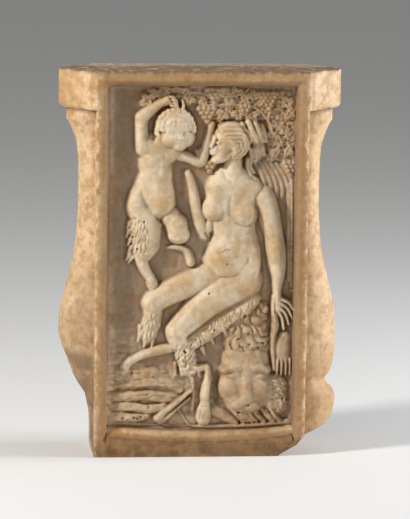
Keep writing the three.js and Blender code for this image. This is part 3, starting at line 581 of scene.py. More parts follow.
def satyress_legs():
    """Her thighs, and the goat shins below them."""
    near = flesh(7, [
        tube([(60, 256, 22, 33), (36, 240, 23, 29), (12, 224, 23.5, 26), (-14, 200, 23.4, 22),
              (-33, 182, 23, 18.5)], 0, 3.0),
        tube([(68, 274, 20.6, 18), (66, 250, 21, 20)]),
        tube([(-33, 180, 22.4, 18), (-30, 168, 20, 17), (-22, 154, 17, 17), (-18, 138, 14, 17),
              (-14, 126, 11, 15)]),
    ])
    for cut in ((2.4, -1.0, (-44, 196), (-36, 190), (-36, 180)),
                (3.0, -1.2, (-46, 168), (-38, 174), (-28, 170)),
                (5.0, -0.9, (52, 262), (34, 246), (14, 238))):
        stroke(near, *cut)
    far = flesh(6, [
        tube([(26, 266, 14, 24), (-10, 251, 16, 22), (-40, 239, 17.4, 20), (-62, 228, 18.5, 19),
              (-69, 222, 18, 17.5)], 0, 3.0),
        tube([(-68, 222, 17.6, 17), (-68, 206, 15.5, 15.5), (-71, 190, 13, 16), (-75, 174, 10, 14)]),
    ])
    stroke(far, 2.2, -0.9, (-80, 232), (-74, 222), (-74, 210))
    near_shin = flesh(4, [
        tube([(12, 128, 12, 5.5), (13, 114, 13, 6.5), (11, 100, 14, 8), (9, 85, 14, 9), (9, 74, 14, 9)]),
        tube([(9, 74, 14.4, 9), (7, 62, 15, 12), (7, 53, 13, 13)], 0, 3.4),
        tube([(-18, 128, 11, 13), (-6, 126, 11, 8), (10, 128, 11, 6)]),
    ])
    stroke(near_shin, 1.3, -2.2, (4, 72), (1, 52), ends=0)
    stroke(near_shin, 1.2, -1.4, (-3, 74), (8, 71), (18, 74))
    stroke(near_shin, 1.8, -1.6, (16, 118), (17, 100), (16, 84))
    far_shin = flesh(4, [
        tube([(-42, 156, 10, 8), (-60, 153, 11, 9), (-80, 147, 11, 8), (-100, 138, 11, 7.5)]),
        tube([(-100, 139, 11, 7.5), (-106, 132, 11, 9), (-108, 125, 9, 9)]),
    ])
    stroke(far_shin, 1.3, -1.8, (-112, 132), (-108, 120), ends=0)
    stroke(far_shin, 2.0, -1.8, (-60, 148), (-78, 142), (-94, 134))
    slope = np.interp(X, [-40, -20, 0, 20, 40, 60, 80], [158, 168, 184, 199, 212, 221, 232])
    under = slope - Z + 2.5 * noise(X, Z, 7, 3)
    band = flesh(3, [tube([(-16, 162, 16, 13), (4, 175, 16, 15), (26, 191, 17, 16), (48, 205, 17, 16),
                           (66, 216, 16, 15), (78, 228, 14, 12)])])
    near = smooth_max(near, band, 6)
    fur(near, np.minimum(covered(near), under / 2), (24, 190), 252 + 0.15 * X, 4.6, 4.8, 4.4, 21, 3.2)
    for place, radius in (((30, 190), 8), ((48, 204), 7), ((10, 176), 7), ((66, 214), 7), ((-6, 163), 6)):
        w, snail = curl_of_hair(place, radius, 5, place[0])
        near[w] = np.maximum(near[w], 14.5 + snail)
    knee = covered(near, -46, 8, 110, 166)
    fur(near, knee, (-20, 140), 292 - 0.3 * (X + 20), 4.2, 3.6, 4.4, 23, 3.6)
    fur(near_shin, covered(near_shin, -40, 26, 112, 140), (0, 126), 300, 3.2, 1.4, 3, 25)
    fur(far, covered(far, -100, -46, 158, 212), (-72, 186), 262 + 0.9 * (X + 72), 4.6, 3.8, 4, 27, 3.6)
    tufts = flesh(1.5, [tube([(x, z, 9, 4.4), (x + dx, z - 10, 6, 2.2)], 2) for x, z, dx in (
        (-86, 188, -2), (-86, 176, -3), (-78, 168, -2), (-68, 168, -1), (-26, 126, 1), (-14, 122, 2),
        (-2, 124, 3), (4, 156, 4), (16, 172, 5), (36, 182, 4), (52, 193, 5), (70, 206, 4))])
    clay = np.maximum.reduce([far, far_shin, near_shin, near])
    clay = np.maximum(clay, tufts)
    drill(clay, [(-23, 153), (-20.6, 151), (13, 163), (36, 187), (-62, 167), (20, 184), (12, 238),
                 (-85, 206)], 1.4, 5)
    stroke(clay, 1.6, -3.0, (-29, 158), (-24, 154), (-19, 149))
    return clay


# ------------------------------------------------------------------ lion skin, rocks, foliage

MASK_AXIS = 67


def lion_skin():
    """The skin that she sits on, with its mask, mane, claws and hanging paw."""
    seat = flesh(7, [
        tube([(68, 186, 14, 34), (69, 168, 15, 35), (67, 148, 16, 35), (68, 120, 16.5, 37),
              (66, 98, 16.5, 36), (68, 84, 16, 33)], 0, 4.0),
        tube([(84, 204, 12, 17), (90, 214, 11, 11)]), tube([(112, 100, 10, 18), (112, 74, 10, 20)], 0, 4.0),
    ])
    fur(seat, covered(seat, 30, 108, 150, 230), (70, 190), 285 + 1.1 * (X - 70), 8.5, 7.0, 7, 33, 2.6)
    fur(seat, covered(seat, 30, 108, 150, 230), (70, 190), 285 + 1.1 * (X - 70), 2.6, 0.9, 7, 33, 6)
    beside = np.minimum(covered(seat, 20, 140, 60, 116), (np.abs(X - MASK_AXIS) - 36) / 2)
    fur(seat, beside, (112, 86), -30 + 0.2 * (X - 112), 6.0, 4.4, 6, 35, 2.6)
    ax = MASK_AXIS
    forms = [
        boss((ax, 132, 18.6), 30, 20, 0, 8, 3.4),
        tube([(ax, 130, 19, 9), (ax, 108, 20.6, 9), (ax, 88, 22, 11)], 12),
        boss((ax, 80, 22), 13, 8, 0, 14), boss((ax, 68, 18), 15, 7, 0, 10),
    ]
    for side in (-1, 1):
        forms += [tube([(ax + side * 9, 127, 19.6, 5), (ax + side * 20, 129, 20, 5.4),
                        (ax + side * 31, 125, 18, 5)], 13),
                  boss((ax + side * 21, 99, 18.6), 15, 15, 0, 12),
                  boss((ax + side * 11, 72, 20.4), 12, 9, 0, 10)]
    mask = flesh(5, forms)
    for side in (-1, 1):
        ex = ax + side * 20.5
        for cut in (
            (2.6, -2.6, (ex - side * 8, 117), (ex, 120.4), (ex + side * 9, 117)),
            (1.2, -2.4, (ax + side * 3, 76.4), (ax + side * 7, 79), (ax + side * 10, 76)),
            (2.0, -1.6, (ax + side * 13, 94), (ax + side * 21, 84), (ax + side * 23, 70)),
            (2.6, -1.4, (ax + side * 7, 124), (ax + side * 11, 110), (ax + side * 11, 94)),
            (1.2, -1.0, (ax + side * 14, 146), (ax + side * 22, 140)),
            (1.2, -1.0, (ax + side * 4, 146), (ax + side * 6, 134)),
        ):
            stroke(mask, *cut)
        lay(mask, [boss((ex, 116, 19.0), 6.2, 3.2, side * 6, 15)], 0.8)
        stroke(mask, 0.9, 0.9, (ex - side * 7, 115), (ex, 119.4), (ex + side * 7, 116.6))
        stroke(mask, 0.9, 0.7, (ex - side * 6.4, 114.4), (ex, 112.2), (ex + side * 7, 115.6))
    stroke(mask, 1.3, -1.6, (ax, 74), (ax, 63))
    stroke(mask, 1.2, -2.2, (ax - 15, 65), (ax, 63), (ax + 17, 62), (ax + 30, 61))
    mask = soften(np.maximum(mask, -3), 4) + np.where(mask > 4, 0.7 * rough(X, Z, 13, 37), 0)
    # One paw hangs below her hand. Claws and locks are splayed under the mask.
    hanging = flesh(4, [
        tube([(108, 206, 14, 6), (110, 190, 13.4, 7), (107, 174, 12.4, 6), (106, 158, 12, 5),
              (108, 140, 11.6, 4), (109, 124, 10, 3)]),
        tube([(124, 172, 10, 10), (120, 158, 11, 14), (121, 144, 11, 13)], 0, 3.6),
    ])
    for toe in range(4):
        lay(hanging, [tube([(113.6 + 6 * toe, 140, 12, 3.2), (113.4 + 6.2 * toe, 128, 12.4, 2.9),
                            (113.4 + 6.2 * toe, 117, 10, 2.2)], 3)], 0.6)
    fur(hanging, covered(hanging, 100, 116, 150, 206), (108, 178), 275, 3.0, 0.9, 2, 39)
    claws = np.full(X.shape, NOTHING)
    for k in range(9):
        x, drop = 47 + 7.2 * k + (0, 1.6, -1.4, 0.8, 2, -1, 1.4, -0.6, 0)[k], (0, 3, 1, 4, 2, 5, 3, 6, 4)[k]
        lay(claws, [tube([(x, 70 - drop, 12, 3.4), (x + 7, 60 - drop, 14.5, 4.6),
                          (x + 19 - drop, 47 + 0.4 * drop, 10, 3)], 3)], 1.8)
    clay = np.maximum.reduce([seat, hanging])
    lay(clay, [(EVERYWHERE, mask)], 2.5)
    lay(clay, [(EVERYWHERE, claws)], 0.8)
    drill(clay, [(84, 158), (92, 164), (56, 170), (70, 178), (98, 196), (122, 82), (71, 74), (58, 62),
                 (86, 60)], 1.5, 4.5)
    return clay


def rocks():
    """The layered rock at her feet, with a double pipe on it."""
    sheets = [
        ([(-132, 112, 7, 8), (-112, 118, 9, 10), (-92, 118, 9, 9), (-70, 120, 8, 10), (-50, 116, 6, 8)], 0),
        ([(-130, 102, 8, 7), (-104, 104, 10, 8), (-76, 106, 11, 8), (-46, 104, 9, 8), (-28, 96, 7, 7)], 1),
        ([(-131, 86, 10, 9), (-106, 86, 12, 10), (-80, 88, 13, 9), (-52, 84, 11, 9), (-34, 82, 8, 8)], 2),
        ([(-131, 71, 12, 8), (-112, 72, 14, 9), (-92, 70, 14, 8), (-72, 66, 12, 9), (-52, 72, 10, 8)], 3),
        ([(-128, 57, 14, 9), (-110, 57, 16, 10), (-92, 56, 16, 9), (-76, 58, 13, 7)], 4),
    ]
    clay = np.full(X.shape, NOTHING)
    for places, k in sheets:
        w, sheet = tube(places, 1.5, 3.4)
        sheet = np.where(sheet > -8, sheet + 3.0 * rough(X[w], Z[w] * 2.4, 22, 31 + k, 4), sheet)
        clay[w] = smooth_max(clay[w], sheet, 0.8)
    plates = np.sin(Z / 2.3 + 2.2 * noise(X, Z * 2, 30, 35) + 0.03 * X)
    clay += np.where(clay > 0, 0.9 * plates + 1.6 * lumps(12, 95, 2.2) - 1.0, 0)
    for cut in (
        (2.4, -4.6, (-124, 93), (-108, 97), (-92, 95), (-62, 97), (-46, 92), (-35, 88)),
        (1.2, -2.6, (-74, 101), (-58, 100), (-42, 99)), (1.4, -3.0, (-120, 106), (-104, 106), (-93, 111)),
        (2.6, -4.6, (-98, 124), (-98, 117), (-94, 112)), (1.4, -2.8, (-82, 76), (-66, 76), (-50, 76)),
        (1.2, -2.2, (-70, 116), (-62, 111), (-54, 108)), (1.6, -2.4, (-88, 66), (-80, 60), (-78, 52)),
        (1.6, -2.2, (-78, 134), (-66, 132), (-52, 122)), (1.2, -2.0, (-90, 90), (-80, 88), (-70, 90)),
    ):
        stroke(clay, *cut)
    drill(clay, [(-73, 70), (-97, 119), (-110, 55), (-104, 52), (-95, 56), (-85, 57), (-90, 54)], 2.0, 4)
    # A double pipe lies on the rocks, its mouth bound with cord, and a thin slab leans below.
    lay(clay, [tube([(-12, 94, 15, 3.2), (-30, 79, 16, 4.2), (-48, 65, 17, 5.6), (-60, 54, 18, 7.4)], 4),
               tube([(-14, 83, 13, 2.8), (-30, 70, 14, 3.4), (-46, 56, 14.6, 5), (-56, 49, 15, 6)], 4)],
               0.8)
    for k in range(6):
        x, z = -46 - 3.6 * k, 63 - 2.4 * k
        stroke(clay, 1.0, -2.4, (x - 2.6, z + 4), (x + 2.2, z - 2.4))
    lay(clay, [tube([(-30, 66, 11, 1.8), (-22, 55, 12, 2.0), (-13, 43, 13, 2.2), (0, 40, 13, 2.4),
                     (24, 40, 13, 2.4)], 2),
               tube([(-26, 54, 7, 9), (-10, 50, 8, 9)], 2),
               tube([(24, 64, 9, 9), (40, 54, 10, 8), (54, 47, 10, 5)], 2)], 0.8)
    lay(clay, [tube([(-9, 112, 8, 3), (-8, 90, 9, 3.4), (-10, 66, 9, 3.6)], 1),
               tube([(-35, 134, 9, 2.4), (-34, 116, 8, 3)], 1)], 1)
    return clay


LEAVES = [
    (-78, 516, 13, 210), (-68, 524, 12, 120), (-56, 530, 11, 40), (-26, 528, 11, 60),
    (-18, 519, 11, 250), (-38, 531, 9, 90), (33, 524, 13, 80), (48, 526, 12, 110), (60, 519, 13, 30),
    (74, 521, 12, 100), (40, 516, 10, 250), (86, 517, 11, 330), (30, 497, 12, 240), (52, 498, 12, 280),
    (72, 495, 12, 300), (3, 515, 10, 200), (122, 512, 12, 30), (126, 498, 12, 320), (120, 476, 11, 250),
    (128, 462, 12, 60), (112, 458, 11, 200), (124, 444, 11, 330), (108, 440, 11, 150),
    (-2, 440, 9, 160), (100, 466, 10, 100),
]
BUNCHES = [
    ((18, 532), 4, 4.2, 0), ((94, 527), 5, 3.8, 0.6), ((6, 504), 4, 4.0, 0.6), ((12, 426), 3, 4.0, 0),
    ((62, 507), 3, 3.6, 0), ((130, 426), 4, 3.8, -0.4),
]


def foliage():
    """The vine over the figures and down the right side."""
    thicket = np.minimum.reduce([
        np.maximum.reduce([(Z - 486) / 3, (X - 96) / 3]), (Z - 428) / 3, (X + 84) / 3,
        20 - (X < 14) * (514 - Z) * 9.0,
    ]) + 1.5 * noise(X, Z, 9, 45)
    thicket = np.where((X < 14) & (Z < 512), -9, thicket)
    clay = np.where(thicket > 0, 1.6 + 2.6 * lumps(7.5, 47) + 1.4 * lumps(4.2, 49), NOTHING) * 1.0
    lay(clay, [
        tube([(-84, 510, 5, 3), (-52, 526, 6, 3.2), (-30, 530, 5, 2.6), (-4, 527, 6, 3), (16, 521, 6, 3)],
             0),
        tube([(0, 509, 7, 3), (30, 509.5, 7.5, 3), (64, 509, 7.5, 3), (80, 503, 7.5, 3), (94, 489, 7, 3),
              (102, 470, 6.5, 3), (103, 450, 6, 2.8)], 0),
        tube([(56, 523, 7, 2.6), (63, 530, 7.5, 2.6), (69, 536, 7, 2.4)], 0),
    ], 0.8)
    for k in range(28):
        angle = math.radians(20 + 11 * k)
        x, z = 108 + 12.5 * math.cos(angle), 491 + 12.5 * math.sin(angle)
        lay(clay, [boss((x, z, 7.2), 2.8, 2.8)], 1.5)
    for place in LEAVES:
        w, blade = leaf(place[:2], place[2], place[3], 8.2)
        lay(clay, [(w, blade + 0.5 * noise(X[w], Z[w], 4, 43))], 0.6)
    for place, rows, radius, lean in BUNCHES:
        lay(clay, berries(place, rows, radius, lean), 0.4)
    # Ends of cloth blow out behind her shoulder.
    for k in range(6):
        x, z = 78 + 8.5 * k, 424 - 1.4 * k
        lay(clay, [tube([(x - 4, z + 6, 4, 4.0), (x + 8, z - 12, 5.6, 5), (x + 14, z - 30, 5.4, 5),
                         (x + 14, z - 44, 3, 4)], 0)], 1.6)
    drill(clay, [(-66, 519), (-22, 523), (38, 519), (54, 521), (68, 517), (82, 512), (62, 497),
                 (80, 492), (120, 504), (124, 486), (118, 466), (114, 448), (26, 513), (46, 504),
                 (10, 517)], 1.5, 4)
    return clay


def thyrsus():
    """The staff that stands behind her arm."""
    return flesh(0.8, [
        tube([(131, 400, 7, 3.4), (132, 330, 7.4, 3.4), (133, 246, 7.4, 3.4)], 0),
        boss((132, 309, 9), 6, 3.4), boss((133, 300, 9), 5.4, 3), boss((134, 240, 9), 6, 4),
        tube([(128, 396, 6, 4), (127, 350, 5, 4), (128, 300, 4.4, 4), (129, 256, 4.4, 4)], 0),
        boss((131, 408, 8), 4, 4), boss((127, 414, 8), 4, 4), boss((132, 417, 8), 4, 4),
    ])


# ------------------------------------------------------------------ the whole front

def ledge():
    """The shelf that the figures stand on, which swells forward to the frame's lower face."""
    lip, foot = lip_at(X), 19 + 11 * (X / RIGHT) ** 2
    rise = (Z - foot) / (lip - foot)
    shelf = np.where(Z < lip + 6, 14 - 1.2 * np.maximum(Z - lip, 0), NOTHING)
    band = mix(RECESS - 5, RECESS - 15, np.clip(rise, 0, 1) ** 1.4) + 0.6 * rough(X, Z, 26, 57)
    shelf = np.where(Z < lip, band, shelf)
    return np.where(Z < foot, RECESS + 4, shelf)


def soften(heights, passes):
    """Blurs the grid a little on each pass."""
    for _ in range(passes):
        padded = np.pad(heights, 1, mode="edge")
        beside = padded[:-2, 1:-1] + padded[2:, 1:-1] + padded[1:-1, :-2] + padded[1:-1, 2:]
        heights = heights / 3 + beside / 6
    return heights


def carve():
    """Height of the carving over the grid, and how far each place belongs to a figure."""
    left, others = X - LEFT, np.minimum(RIGHT - X, TOP - Z)
    ground = 9 * np.clip(1 - left / 19, 0, 1) ** 1.8 + 6 * np.clip(1 - others / 9, 0, 1) ** 2
    ground += 1.3 * rough(X, Z, 48, 5) + 0.5 * noise(X * 2.2, Z * 0.45, 9, 9)
    shelf = ledge()
    litter = smooth(150, 105, Z) * smooth(60, 20, X) + smooth(-60, -100, X) * smooth(205, 165, Z)
    ground += litter * (2.2 + 1.8 * lumps(15, 91, 1.6) + 1.2 * rough(X, Z * 2, 12, 93))
    skin = np.maximum.reduce([satyress_body(), satyress_legs(), satyress_head(), child()])
    rest = np.maximum.reduce([lion_skin(), rocks(), foliage(), thyrsus()])
    heights = smooth_max(np.maximum(rest, skin), ground, 1.4)
    # The ground is cut deeper in the shade beside the figures.
    near = soften(np.clip(skin, 0, 12), 30)
    heights -= np.where(heights < 6, 0.16 * near * smooth(6, 3, heights), 0)
    for cut in ((3.0, -4.0, (56, 484), (62, 470), (72, 452), (78, 446)),
                (3.4, -8.0, (26, 124), (25, 100), (25, 72)),
                (3.6, -5.0, (-71, 492), (-69, 472), (-70, 453)),
                (4.0, -3.0, (-28, 424), (-28, 400), (-28, 372)),
                (3.4, -3.0, (84, 300), (88, 270), (90, 236)), (5.0, -3.0, (80, 446), (84, 430), (76, 416))):
        stroke(heights, *cut)
    heights = np.where(Z < lip_at(X) - 1, shelf, np.maximum(heights, shelf))
    stroke(heights, 2.6, -7.0, (-128, 45), (-90, 42.5), (-50, 41), (-10, 39), (30, 37.5), (80, 38.5),
           (134, 43), ends=0.05)
    heights += 0.16 * rough(X, Z, 6, 51)
    heights = np.clip(soften(heights, 1), -2.5, RECESS - 0.2)
    figure = smooth(1.5, 7, skin) * (skin > rest - 0.5)
    return heights, soften(figure, 2)


# ------------------------------------------------------------------ mesh

class Block:
    """The pier as rings of points about its height, front columns first, then round by the right."""

    side_points = 62
    back_points = 44
    top_rings = 22
    foot_rings = 5

    def __init__(self, heights):
        self.heights = heights
        inner = np.arange(LEFT + 0.5, RIGHT, STEP)
        frame_left = np.concatenate([
            np.linspace(-PANEL_HALF, LEFT - BEVEL, 7), np.linspace(LEFT - BEVEL + 1.75, LEFT, 4)])
        self.columns = np.concatenate([frame_left, inner, -frame_left[::-1]])
        low = np.arange(0, SLAB_UNDER, 0.95)
        high = np.arange(SLAB_UNDER, HEIGHT, 0.95)
        exact = [TOP, TOP - 0.5, TOP + BEVEL, HEIGHT]
        self.levels = np.unique(np.concatenate([low, [SLAB_UNDER - 0.01], high, exact]))

    def front(self, x, z):
        """How deep the front lies at a place, measured from the front plane backwards."""
        z = np.full_like(x, z)
        out = np.maximum(np.abs(x) - RIGHT, z - TOP)
        bevel = BEVEL * np.clip(1 - out / BEVEL, 0, 1) * smooth(BOTTOM - 4, BOTTOM + 14, z)
        inside = (out < 0) & (z > BOTTOM)
        return np.where(inside, RECESS - sample(self.heights, x, z), bevel)

    def right_limit(self, z):
        """Half width of the front at a height: the lower right corner has broken away."""
        return np.interp(z, [-5, 2.5, 16, 27, 36], [109, 117, 141, 150, PANEL_HALF])

    def side(self, z, lower):
        """Points round a side at a height, from the front corner to the back one."""
        t = np.linspace(0, 1, self.side_points)
        profile = np.array(sorted(UPPER_WING + lower))
        half_width = np.interp(z, profile[:, 0], profile[:, 1], left=0)
        if z >= SLAB_UNDER:
            worn = 5 * np.clip(1 - (z - SLAB_UNDER) / 5, 0, 1)
            outer = SLAB_HALF - worn
            corner = HALF_DEPTH - SLAB_CHAMFER
            path = np.array([(PANEL_HALF, FRONT), (outer, -corner), (outer, corner), (PANEL_HALF, -FRONT)])
            share = np.array([0, 0.44, 0.56, 1])
            return np.interp(t, share, path[:, 0]), np.interp(t, share, path[:, 1])
        reach = half_width - PANEL_HALF
        if reach < 1:
            return np.full_like(t, PANEL_HALF), FRONT * np.cos(math.pi * t)
        waist = 0.4 * (SLAB_HALF - half_width)
        half_depth = (HALF_DEPTH - 8 - waist) * min(1, reach / 8)
        arc = np.clip((t - 0.06) / 0.88, 0, 1) * math.pi - math.pi / 2
        x = PANEL_HALF + reach * np.cos(arc)
        y = half_depth * np.sin(arc)
        y = np.where(t <= 0.06, mix(FRONT, -half_depth, t / 0.06), y)
        y = np.where(t >= 0.94, mix(half_depth, -FRONT, (t - 0.94) / 0.06), y)
        return x, y

    def ring(self, z):
        """All the points round the block at a height."""
        limit = self.right_limit(z)
        x = self.columns
        x = np.where(x > 100, 100 + (x - 100) * (limit - 100) / (PANEL_HALF - 100), x)
        front = np.stack([x, FRONT + self.front(x, z)], 1)
        rx, ry = self.side(z, RIGHT_WING)
        rx = np.minimum(rx, limit) if z < 27 else rx
        lx, ly = self.side(z, BROKEN_WING)
        right = np.stack([rx, ry], 1)
        left = np.stack([-lx, ly], 1)[::-1]
        back_x = np.linspace(right[-1, 0], left[0, 0], self.back_points + 2)[1:-1]
        back = np.stack([back_x, np.full_like(back_x, HALF_DEPTH)], 1)
        flat = np.vstack([front[:-1], right, back, left[:-1]])
        return np.column_stack([flat, np.full(len(flat), z)])

    def rings(self):
        """Every ring from the middle of the underside to the middle of the top."""
        sides = [self.ring(z) for z in self.levels]
        first, last = sides[0], sides[-1]
        foot = [first * (s, s, 1) for s in np.linspace(0.1, 0.96, self.foot_rings)]
        top = [last * (s, s, 1) for s in np.linspace(0.985, 0.02, self.top_rings)]
        return foot + sides + top


def weather(points, top_z):
    """Wears the arrises, chips them and lets every plain face undulate, by moving points in and out."""
    x, y, z = points.T
    moved = points.copy()
    front_face = (y < FRONT + 0.6) & (z > 1)
    uneven = 0.5 * (1 + rough(x, z, 38, 61)) + 0.25 * rough(x, z, 9, 67)
    moved[:, 1] += np.where(front_face, 0.7 * uneven, 0)
    # The long front arrises.
    for side in (-1, 1):
        near = np.hypot(side * x - PANEL_HALF, y - FRONT)
        chips = np.clip(rough(z + 400 * side, 0 * z, 13, 71, 4) - 0.12, 0, 1) * 5 + 0.9
        near_edge = np.clip(1 - near / (2.2 + chips), 0, 1) * (z < SLAB_UNDER)
        moved[:, 0] -= side * near_edge * chips * 0.6
        moved[:, 1] += near_edge * chips * 0.6
    from_chip = ((x - PANEL_HALF - 1) / 8) ** 2 + ((y - FRONT) / 8) ** 2 + ((z - 455) / 10) ** 2
    hollow = np.clip(1 - np.sqrt(from_chip), 0, 1)
    moved[:, 1] += 5 * hollow
    moved[:, 0] -= 3 * hollow
    # Wings and their broken left foot.
    wings = (np.abs(x) > PANEL_HALF + 1) & (z < SLAB_UNDER)
    lumps = 0.5 * rough(y, z, 30, 81) + 0.25 * rough(y, z, 7, 85)
    broken = wings & (x < 0) & (z < 160)
    torn = 3.4 * rough(y + 80, z, 26, 91, 4) - 1.5
    inwards = np.where(broken, torn * smooth(160, 140, z), -0.6 + lumps)
    moved[:, 0] += np.where(wings, np.sign(x) * np.minimum(inwards, 0), 0)
    # Slab, back, top and underside.
    slab = (z >= SLAB_UNDER) & (np.abs(x) > PANEL_HALF - 1)
    pits = 0.5 * (1 + rough(x + y, z, 16, 101)) + 0.8 * np.clip(rough(x - y, z, 4, 107) - 0.25, 0, 1)
    inward = np.array([-np.sign(x), -np.sign(y)]).T * 0.5
    moved[:, :2] += np.where(slab[:, None], inward * pits[:, None], 0)
    back = y > HALF_DEPTH - 0.5
    moved[:, 1] -= np.where(back, 1.4 * np.maximum(1 + rough(x, z, 46, 111, 4), 0), 0)
    on_top = z >= top_z - 0.01
    inner = np.clip(np.minimum(HALF_DEPTH - np.abs(y), SLAB_HALF - np.abs(x)) / 5, 0, 1)
    moved[:, 2] -= np.where(on_top, 0.4 + 1.7 * inner * (1 + rough(x, y, 21, 121, 4)), 0)
    return moved


def wrapped(mesh, rings):
    """Places for the points of a flat grid so that it wraps the rings and meets itself in a seam."""
    co = get_points(mesh) * MM
    stack = np.stack(rings)
    stack = np.concatenate([stack, stack[:, :1]], axis=1)
    foot, crown = stack[:1].copy(), stack[-1:].copy()
    foot[..., :2] = 0
    crown[..., :2] = 0
    stack = np.concatenate([foot, stack, crown])
    levels, around = stack.shape[:2]
    column = np.round((co[:, 0] + 0.5) * (around - 1)).astype(int)
    level = np.round((co[:, 1] + 0.5) * (levels - 1)).astype(int)
    return stack[level, column]


def set_points(mesh, points):
    """Moves the points of a mesh, given in millimetres."""
    mesh.vertices.foreach_set("co", (points * MM).astype(np.float32).ravel())
    mesh.update()


def get_points(mesh):
    """The points of a mesh in millimetres."""
    co = np.zeros(len(mesh.vertices) * 3, np.float32)
    mesh.vertices.foreach_get("co", co)
    return co.reshape(-1, 3).astype(float) / MM


def spot(x, z, cx, cz, rx, rz):
    """A soft round patch about a place."""
    return np.exp(-(((x - cx) / rx) ** 2 + ((z - cz) / rz) ** 2))


def paint(mesh, heights, figure):
    """Stores where the marble is ivory, taupe, stained or worn pale, and where soiling and painted shade
    darken it.
    """
    points = get_points(mesh)
    x, y, z = points.T
    relief = (np.abs(x) < RIGHT + 0.2) & (z > BOTTOM) & (z < TOP + 0.2) & (y < 0)
    near, wide = soften(heights, 8), soften(heights, 60)
    h = sample(heights, x, z)
    fine = sample(heights - near, x, z)
    broad = sample(near - wide, x, z)
    lip = lip_at(x)
    ivory = np.where(relief, sample(figure, x, z), 0)
    ground = np.where(relief & (z > lip), smooth(5, 1, h), 0)
    # Soiling and painted shade in the hollows: fine and broad concavities are darkened as settled dirt and
    # as the shade that falls in them.
    dirt_and_shade = np.where(relief, np.clip(-0.5 * fine - 0.06, 0, 0.9) + np.clip(-0.08 * broad - 0.05, 0, 0.55), 0)
    depth = y - FRONT
    # Painted shade: the ground at the foot of the frame's inner walls is darkened where the frame shades
    # it.
    wall = relief & (h < 12) & (depth > 3)
    edge = np.minimum.reduce([x - LEFT, RIGHT - x, TOP - z])
    dirt_and_shade = np.maximum(dirt_and_shade, np.where(wall & (z > lip), 0.75 * np.clip(1 - edge / 4, 0, 1), 0))
    # Painted shadow under the top slab's overhang, on the wings just below it.
    under = np.clip(1 - (SLAB_UNDER - z) / 5, 0, 1) * (z < SLAB_UNDER) * (np.abs(x) > PANEL_HALF - 2)
    dirt_and_shade = np.maximum(dirt_and_shade, under)
    # A painted shadow line under the ledge's lip, and a fainter dark line at the foot of the ledge band.
    foot = 20 + 10 * (x / RIGHT) ** 2
    line = np.exp(-((z - lip) / 2.2) ** 2) + 0.7 * np.exp(-((z - foot) / 1.4) ** 2)
    dirt_and_shade = np.maximum(dirt_and_shade, np.where((np.abs(x) < RIGHT) & (y < 0), line, 0))
    wear = np.zeros_like(x)
    for side in (-1, 1):
        near_arris = np.hypot(side * x - PANEL_HALF, y - FRONT)
        wear = np.maximum(wear, np.clip(1.3 - near_arris / 4.5, 0, 1))
    wear = np.maximum(wear, np.where(relief, np.clip(0.16 * fine * ivory, 0, 0.5), 0))
    stain = np.zeros_like(x)
    for cx, cz, rx, rz, amount in STAINS:
        stain = np.maximum(stain, amount * spot(x, z, cx, cz, rx, rz))
    stain = np.where(relief, stain, 0)
    brown_and_bevel_shade = smooth(40, 14, z) * (y < 0) * (0.85 + 0.15 * noise(x, z, 30, 201))
    # Painted shade: the frame's inner bevels are darkened as if turned from the light.
    inner = np.minimum.reduce([np.abs(np.abs(x) - RIGHT - 3),
                               np.abs(z - TOP - 3) + 99 * (np.abs(x) > RIGHT)])
    on_bevel = (y < FRONT + BEVEL + 1) * (z > BOTTOM) * (z < TOP + 8)
    brown_and_bevel_shade = np.maximum(brown_and_bevel_shade, 0.5 * np.clip(1 - inner / 7, 0, 1) * on_bevel)
    brown_and_bevel_shade = np.maximum(brown_and_bevel_shade, 0.3 * (x < -PANEL_HALF) * smooth(330, 220, z))
    top = np.where(z > HEIGHT - 3.5, np.clip((z - HEIGHT + 3.5) / 0.5, 0, 1), 0)
    broken = (x < -PANEL_HALF + 4) * smooth(165, 140, z) * (np.abs(y) < 55)
    back = smooth(20, 56, y)
    # The front face, which the material paints a darker ochre: partly the marble's own tone, partly painted
    # shade for a face less lit than the sides.
    face = ((y < FRONT + BEVEL + 1.5) & ~(relief & (z > lip))).astype(float)
    painted = {
        "face": face, "relief": relief & (z > lip), "ivory": ivory, "ground": ground, "dirt_and_shade": dirt_and_shade,
        "wear": wear, "stain": stain, "brown_and_bevel_shade": np.maximum(brown_and_bevel_shade, 0.8 * broken), "rough_top": top,
        "back": back,
    }
    for name, values in painted.items():
        layer = mesh.attributes.new(name, "FLOAT", "POINT")
        layer.data.foreach_set("value", np.clip(values, 0, 1).astype(np.float32))


# Ochre stains on the figures: place, reach and strength.
STAINS = [
    (-58, 376, 20, 22, 0.8), (-80, 400, 14, 20, 0.5), (-44, 420, 10, 8, 0.4), (17, 352, 12, 12, 0.8),
    (63, 350, 15, 13, 0.8), (36, 280, 30, 18, 0.9), (60, 236, 34, 26, 0.7), (6, 210, 36, 26, 0.6),
    (-30, 250, 30, 18, 0.5), (30, 478, 26, 16, 0.7), (104, 320, 10, 40, 0.5), (118, 240, 10, 24, 0.5),
    (-46, 498, 20, 12, 0.6), (-84, 330, 16, 30, 0.5), (-36, 330, 16, 18, 0.4), (70, 120, 30, 40, 0.3),
    (-90, 90, 40, 20, 0.5), (-60, 180, 20, 20, 0.3),
]


# ------------------------------------------------------------------ marble

def link(tree, a, b):
    tree.links.new(a, b)


def mixed(tree, a, b, factor, mode="MIX"):
    """A colour mixed from two sockets or colours by a factor."""
    made = tree.nodes.new("ShaderNodeMix")
    made.data_type = "RGBA"
    made.blend_type = mode
    for index, value in ((6, a), (7, b), (0, factor)):
        if isinstance(value, bpy.types.NodeSocket):
            link(tree, value, made.inputs[index])
        else:
            made.inputs[index].default_value = value
    return made.outputs[2]


